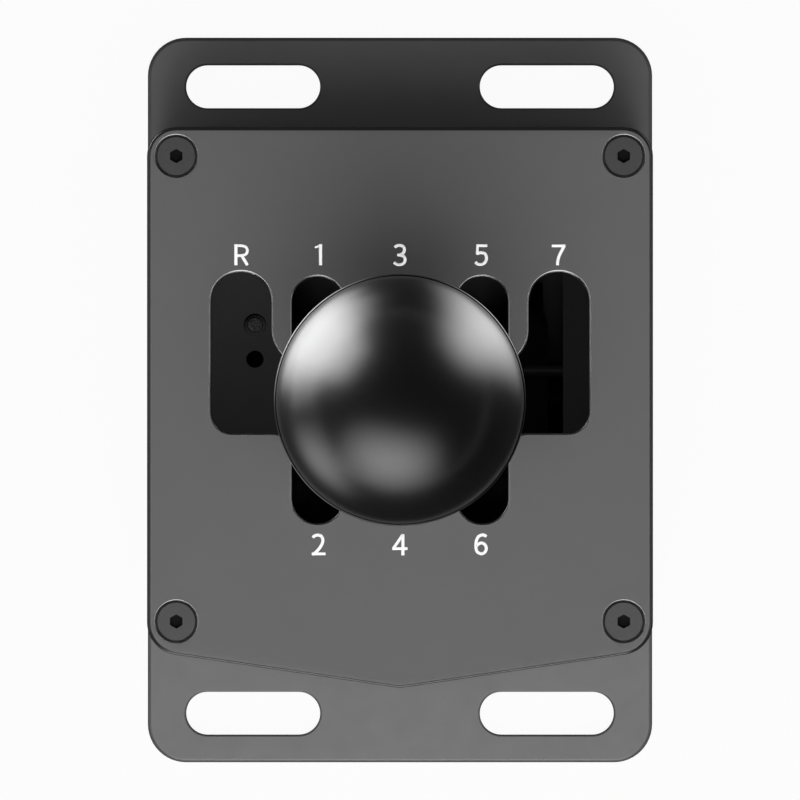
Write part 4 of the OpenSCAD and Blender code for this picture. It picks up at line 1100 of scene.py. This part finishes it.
class SHIFTER_OT_knob(bpy.types.Operator):
    """Turns the knob in two parts, with a fine rim and groove at the seam"""

    bl_idname = "shifter.knob"
    bl_label = "Knob"

    # Radii of the neck, of the bore and of the seat that the cap's plug sits in, in millimetres
    neck, bore, seat = 10.0, 6.05, 17.8
    # Depth of that seat under the seam, and of the plug under the groove's floor
    seat_depth, plug_depth = 3.05, 2.4

    def execute(self, context):
        sizes = context.scene.shifter_size
        neck, bore, seat = self.neck * MM, self.bore * MM, self.seat * MM
        floor = KNOB_SEAM - sizes.groove_depth
        seat_floor, plug_foot = KNOB_SEAM - self.seat_depth * MM, floor - self.plug_depth * MM
        fillet = sizes.neck_fillet
        fillet_z = KNOB_SEAM - math.sqrt((KNOB_RADIUS + fillet) ** 2 - (neck + fillet) ** 2)
        meet = math.degrees(math.atan2(fillet_z - KNOB_SEAM, neck + fillet))
        groove = CAP_RADIUS + sizes.groove_width
        profile = [(bore, KNOB_FOOT), (neck - 0.4 * MM, KNOB_FOOT), (neck, KNOB_FOOT + 0.4 * MM)]
        profile += arc((neck + fillet, fillet_z), fillet, 180.0, 180.0 + meet, 10)
        profile += arc((0.0, KNOB_SEAM), KNOB_RADIUS, meet, -0.5, 40)[1:]
        profile += [
            (KNOB_RADIUS - 0.15 * MM, KNOB_SEAM - 0.02 * MM), (groove + 0.03 * MM, KNOB_SEAM),
            (groove, KNOB_SEAM - 0.05 * MM), (groove, floor), (CAP_RADIUS - 6.5 * MM, floor),
            (seat, seat_floor), (bore, seat_floor)]
        dome = [(0.0, plug_foot), (seat - 0.1 * MM, plug_foot), (seat - 0.1 * MM, floor),
                (CAP_RADIUS - 0.02 * MM, floor + 0.01 * MM)]
        dome += arc((0.0, KNOB_SEAM), CAP_RADIUS, 0.0, 90.0, 56)[:-1] + [(0.0, CAP_TOP)]
        for name, outline, node in (("knob_body", profile, "knob"), ("knob_ball_cap", dome, "knob_cap")):
            piece = lathe(name, outline, sizes.turned_sides)
            piece.data.materials.append(material_of("knob_gloss"))
            smooth_by_angle(piece.data, 30.0)
            hand_over(piece, "knob_and_sleeve", "knob_gloss", node)
        return {"FINISHED"}


class SHIFTER_OT_lever(bpy.types.Operator):
    """Finishes the lever, its sleeve and what slides on it"""

    bl_idname = "shifter.lever"
    bl_label = "Lever"

    def execute(self, context):
        soften_all(context, (
            ("turned_steel", 1, "lever_core lever_sleeve retaining_pin"), ("ground_steel", 2, "lever_hub"),
            ("blacked_steel", 0.5, "hub_clamp_screw"), ("turned_steel", 1, "select_pin"),
            ("ground_steel", 1, "select_magnet"), ("blacked_steel", 3, "lockout_collar"),
            ("blacked_steel", 2, "lock_nut"), ("turned_brass", 1, "knob_insert")))
        return {"FINISHED"}


class SHIFTER_OT_tilt_frame(bpy.types.Operator):
    """Finishes the cradle, bearings, detent and inner stops"""

    bl_idname = "shifter.tilt_frame"
    bl_label = "Tilt frame and detent"

    def execute(self, context):
        soften_all(context, (
            ("hard_anodised", 3, "shift_cradle"), ("turned_steel", 1, "shift_shafts"),
            ("ground_steel", 1, "shift_magnet"), ("sintered_bronze", 1, "select_bushes"),
            ("turned_steel", 1, "bearing_outer_rings bearing_inner_rings"),
            ("turned_steel", 0, "bearing_balls"), ("blacked_steel", 2, "reverse_stop"),
            ("turned_steel", 1, "reverse_stop_screws"), ("anodised_shelf", 1, "left_shelf"),
            ("turned_steel", 1, "left_shelf_bolt"), ("anodised_shelf", 1, "right_ledge"),
            ("blacked_steel", 1, "wire_post"), ("hard_anodised", 3, "detent_housing"),
            ("blacked_steel", 1, "detent_adjusters"),
            ("turned_steel", 1, "detent_plunger_left detent_plunger_right")))
        return {"FINISHED"}


class SHIFTER_OT_electronics(bpy.types.Operator):
    """Finishes the circuit boards and the cable socket and adds its contacts"""

    bl_idname = "shifter.electronics"
    bl_label = "Electronics"

    def execute(self, context):
        soften_all(context, (
            ("solder_mask", 0.5, "main_board"), ("moulding", 1, "board_components"),
            ("turned_brass", 1, "board_standoffs"), ("blacked_steel", 0.5, "board_screws"),
            ("moulding", 1, "cable_socket"), ("solder_mask", 0.5, "shift_sensor_board select_sensor_board"),
            ("turned_brass", 1, "select_sensor_posts")))
        low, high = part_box("cable_socket")
        count, pitch, inset, lift = 6, 1.27 * MM, 4.6 * MM, 4.6 * MM
        middle = (low + high) / 2
        corner = Vector((middle.x - (count - 1) / 2 * pitch, high.y - inset, middle.z + lift))
        piece = run_tree(contact_tree(), "socket_contacts", [corner], {
            "Count": count, "Pitch": pitch, "Finish": material_of("turned_brass")})
        hand_over(piece, "housing", "turned_brass")
        return {"FINISHED"}


class SHIFTER_PT_looks(bpy.types.Panel):
    """Shows the shifter's settings and its operators in the sidebar"""

    bl_label = "Gear Shifter"
    bl_space_type = "VIEW_3D"
    bl_region_type = "UI"
    bl_category = "Shifter"

    def draw(self, context):
        scene = context.scene
        for title, group in (
                ("Finishes", scene.shifter_finish), ("Sizes", scene.shifter_size),
                ("Studio", scene.shifter_studio)):
            box = self.layout.box()
            box.label(text=title)
            for name in group.__annotations__:
                box.prop(group, name)
        for operator in OPERATORS:
            self.layout.operator(operator.bl_idname)


GROUPS = {
    "shifter_finish": FinishSettings, "shifter_size": SizeSettings, "shifter_studio": StudioSettings}
OPERATORS = (
    SHIFTER_OT_knob, SHIFTER_OT_plates, SHIFTER_OT_housing, SHIFTER_OT_gate_numbers,
    SHIFTER_OT_screws, SHIFTER_OT_lever, SHIFTER_OT_springs, SHIFTER_OT_tilt_frame,
    SHIFTER_OT_electronics, SHIFTER_OT_studio)


def register():
    for part in (*GROUPS.values(), *OPERATORS, SHIFTER_PT_looks):
        bpy.utils.register_class(part)
    for name, group in GROUPS.items():
        setattr(bpy.types.Scene, name, PointerProperty(type=group))


def unregister():
    for name in GROUPS:
        delattr(bpy.types.Scene, name)
    for part in reversed((*GROUPS.values(), *OPERATORS, SHIFTER_PT_looks)):
        bpy.utils.unregister_class(part)


def main():
    register()
    for operator in OPERATORS:
        group, name = operator.bl_idname.split(".")
        getattr(getattr(bpy.ops, group), name)()


if __name__ == "__main__":
    main()
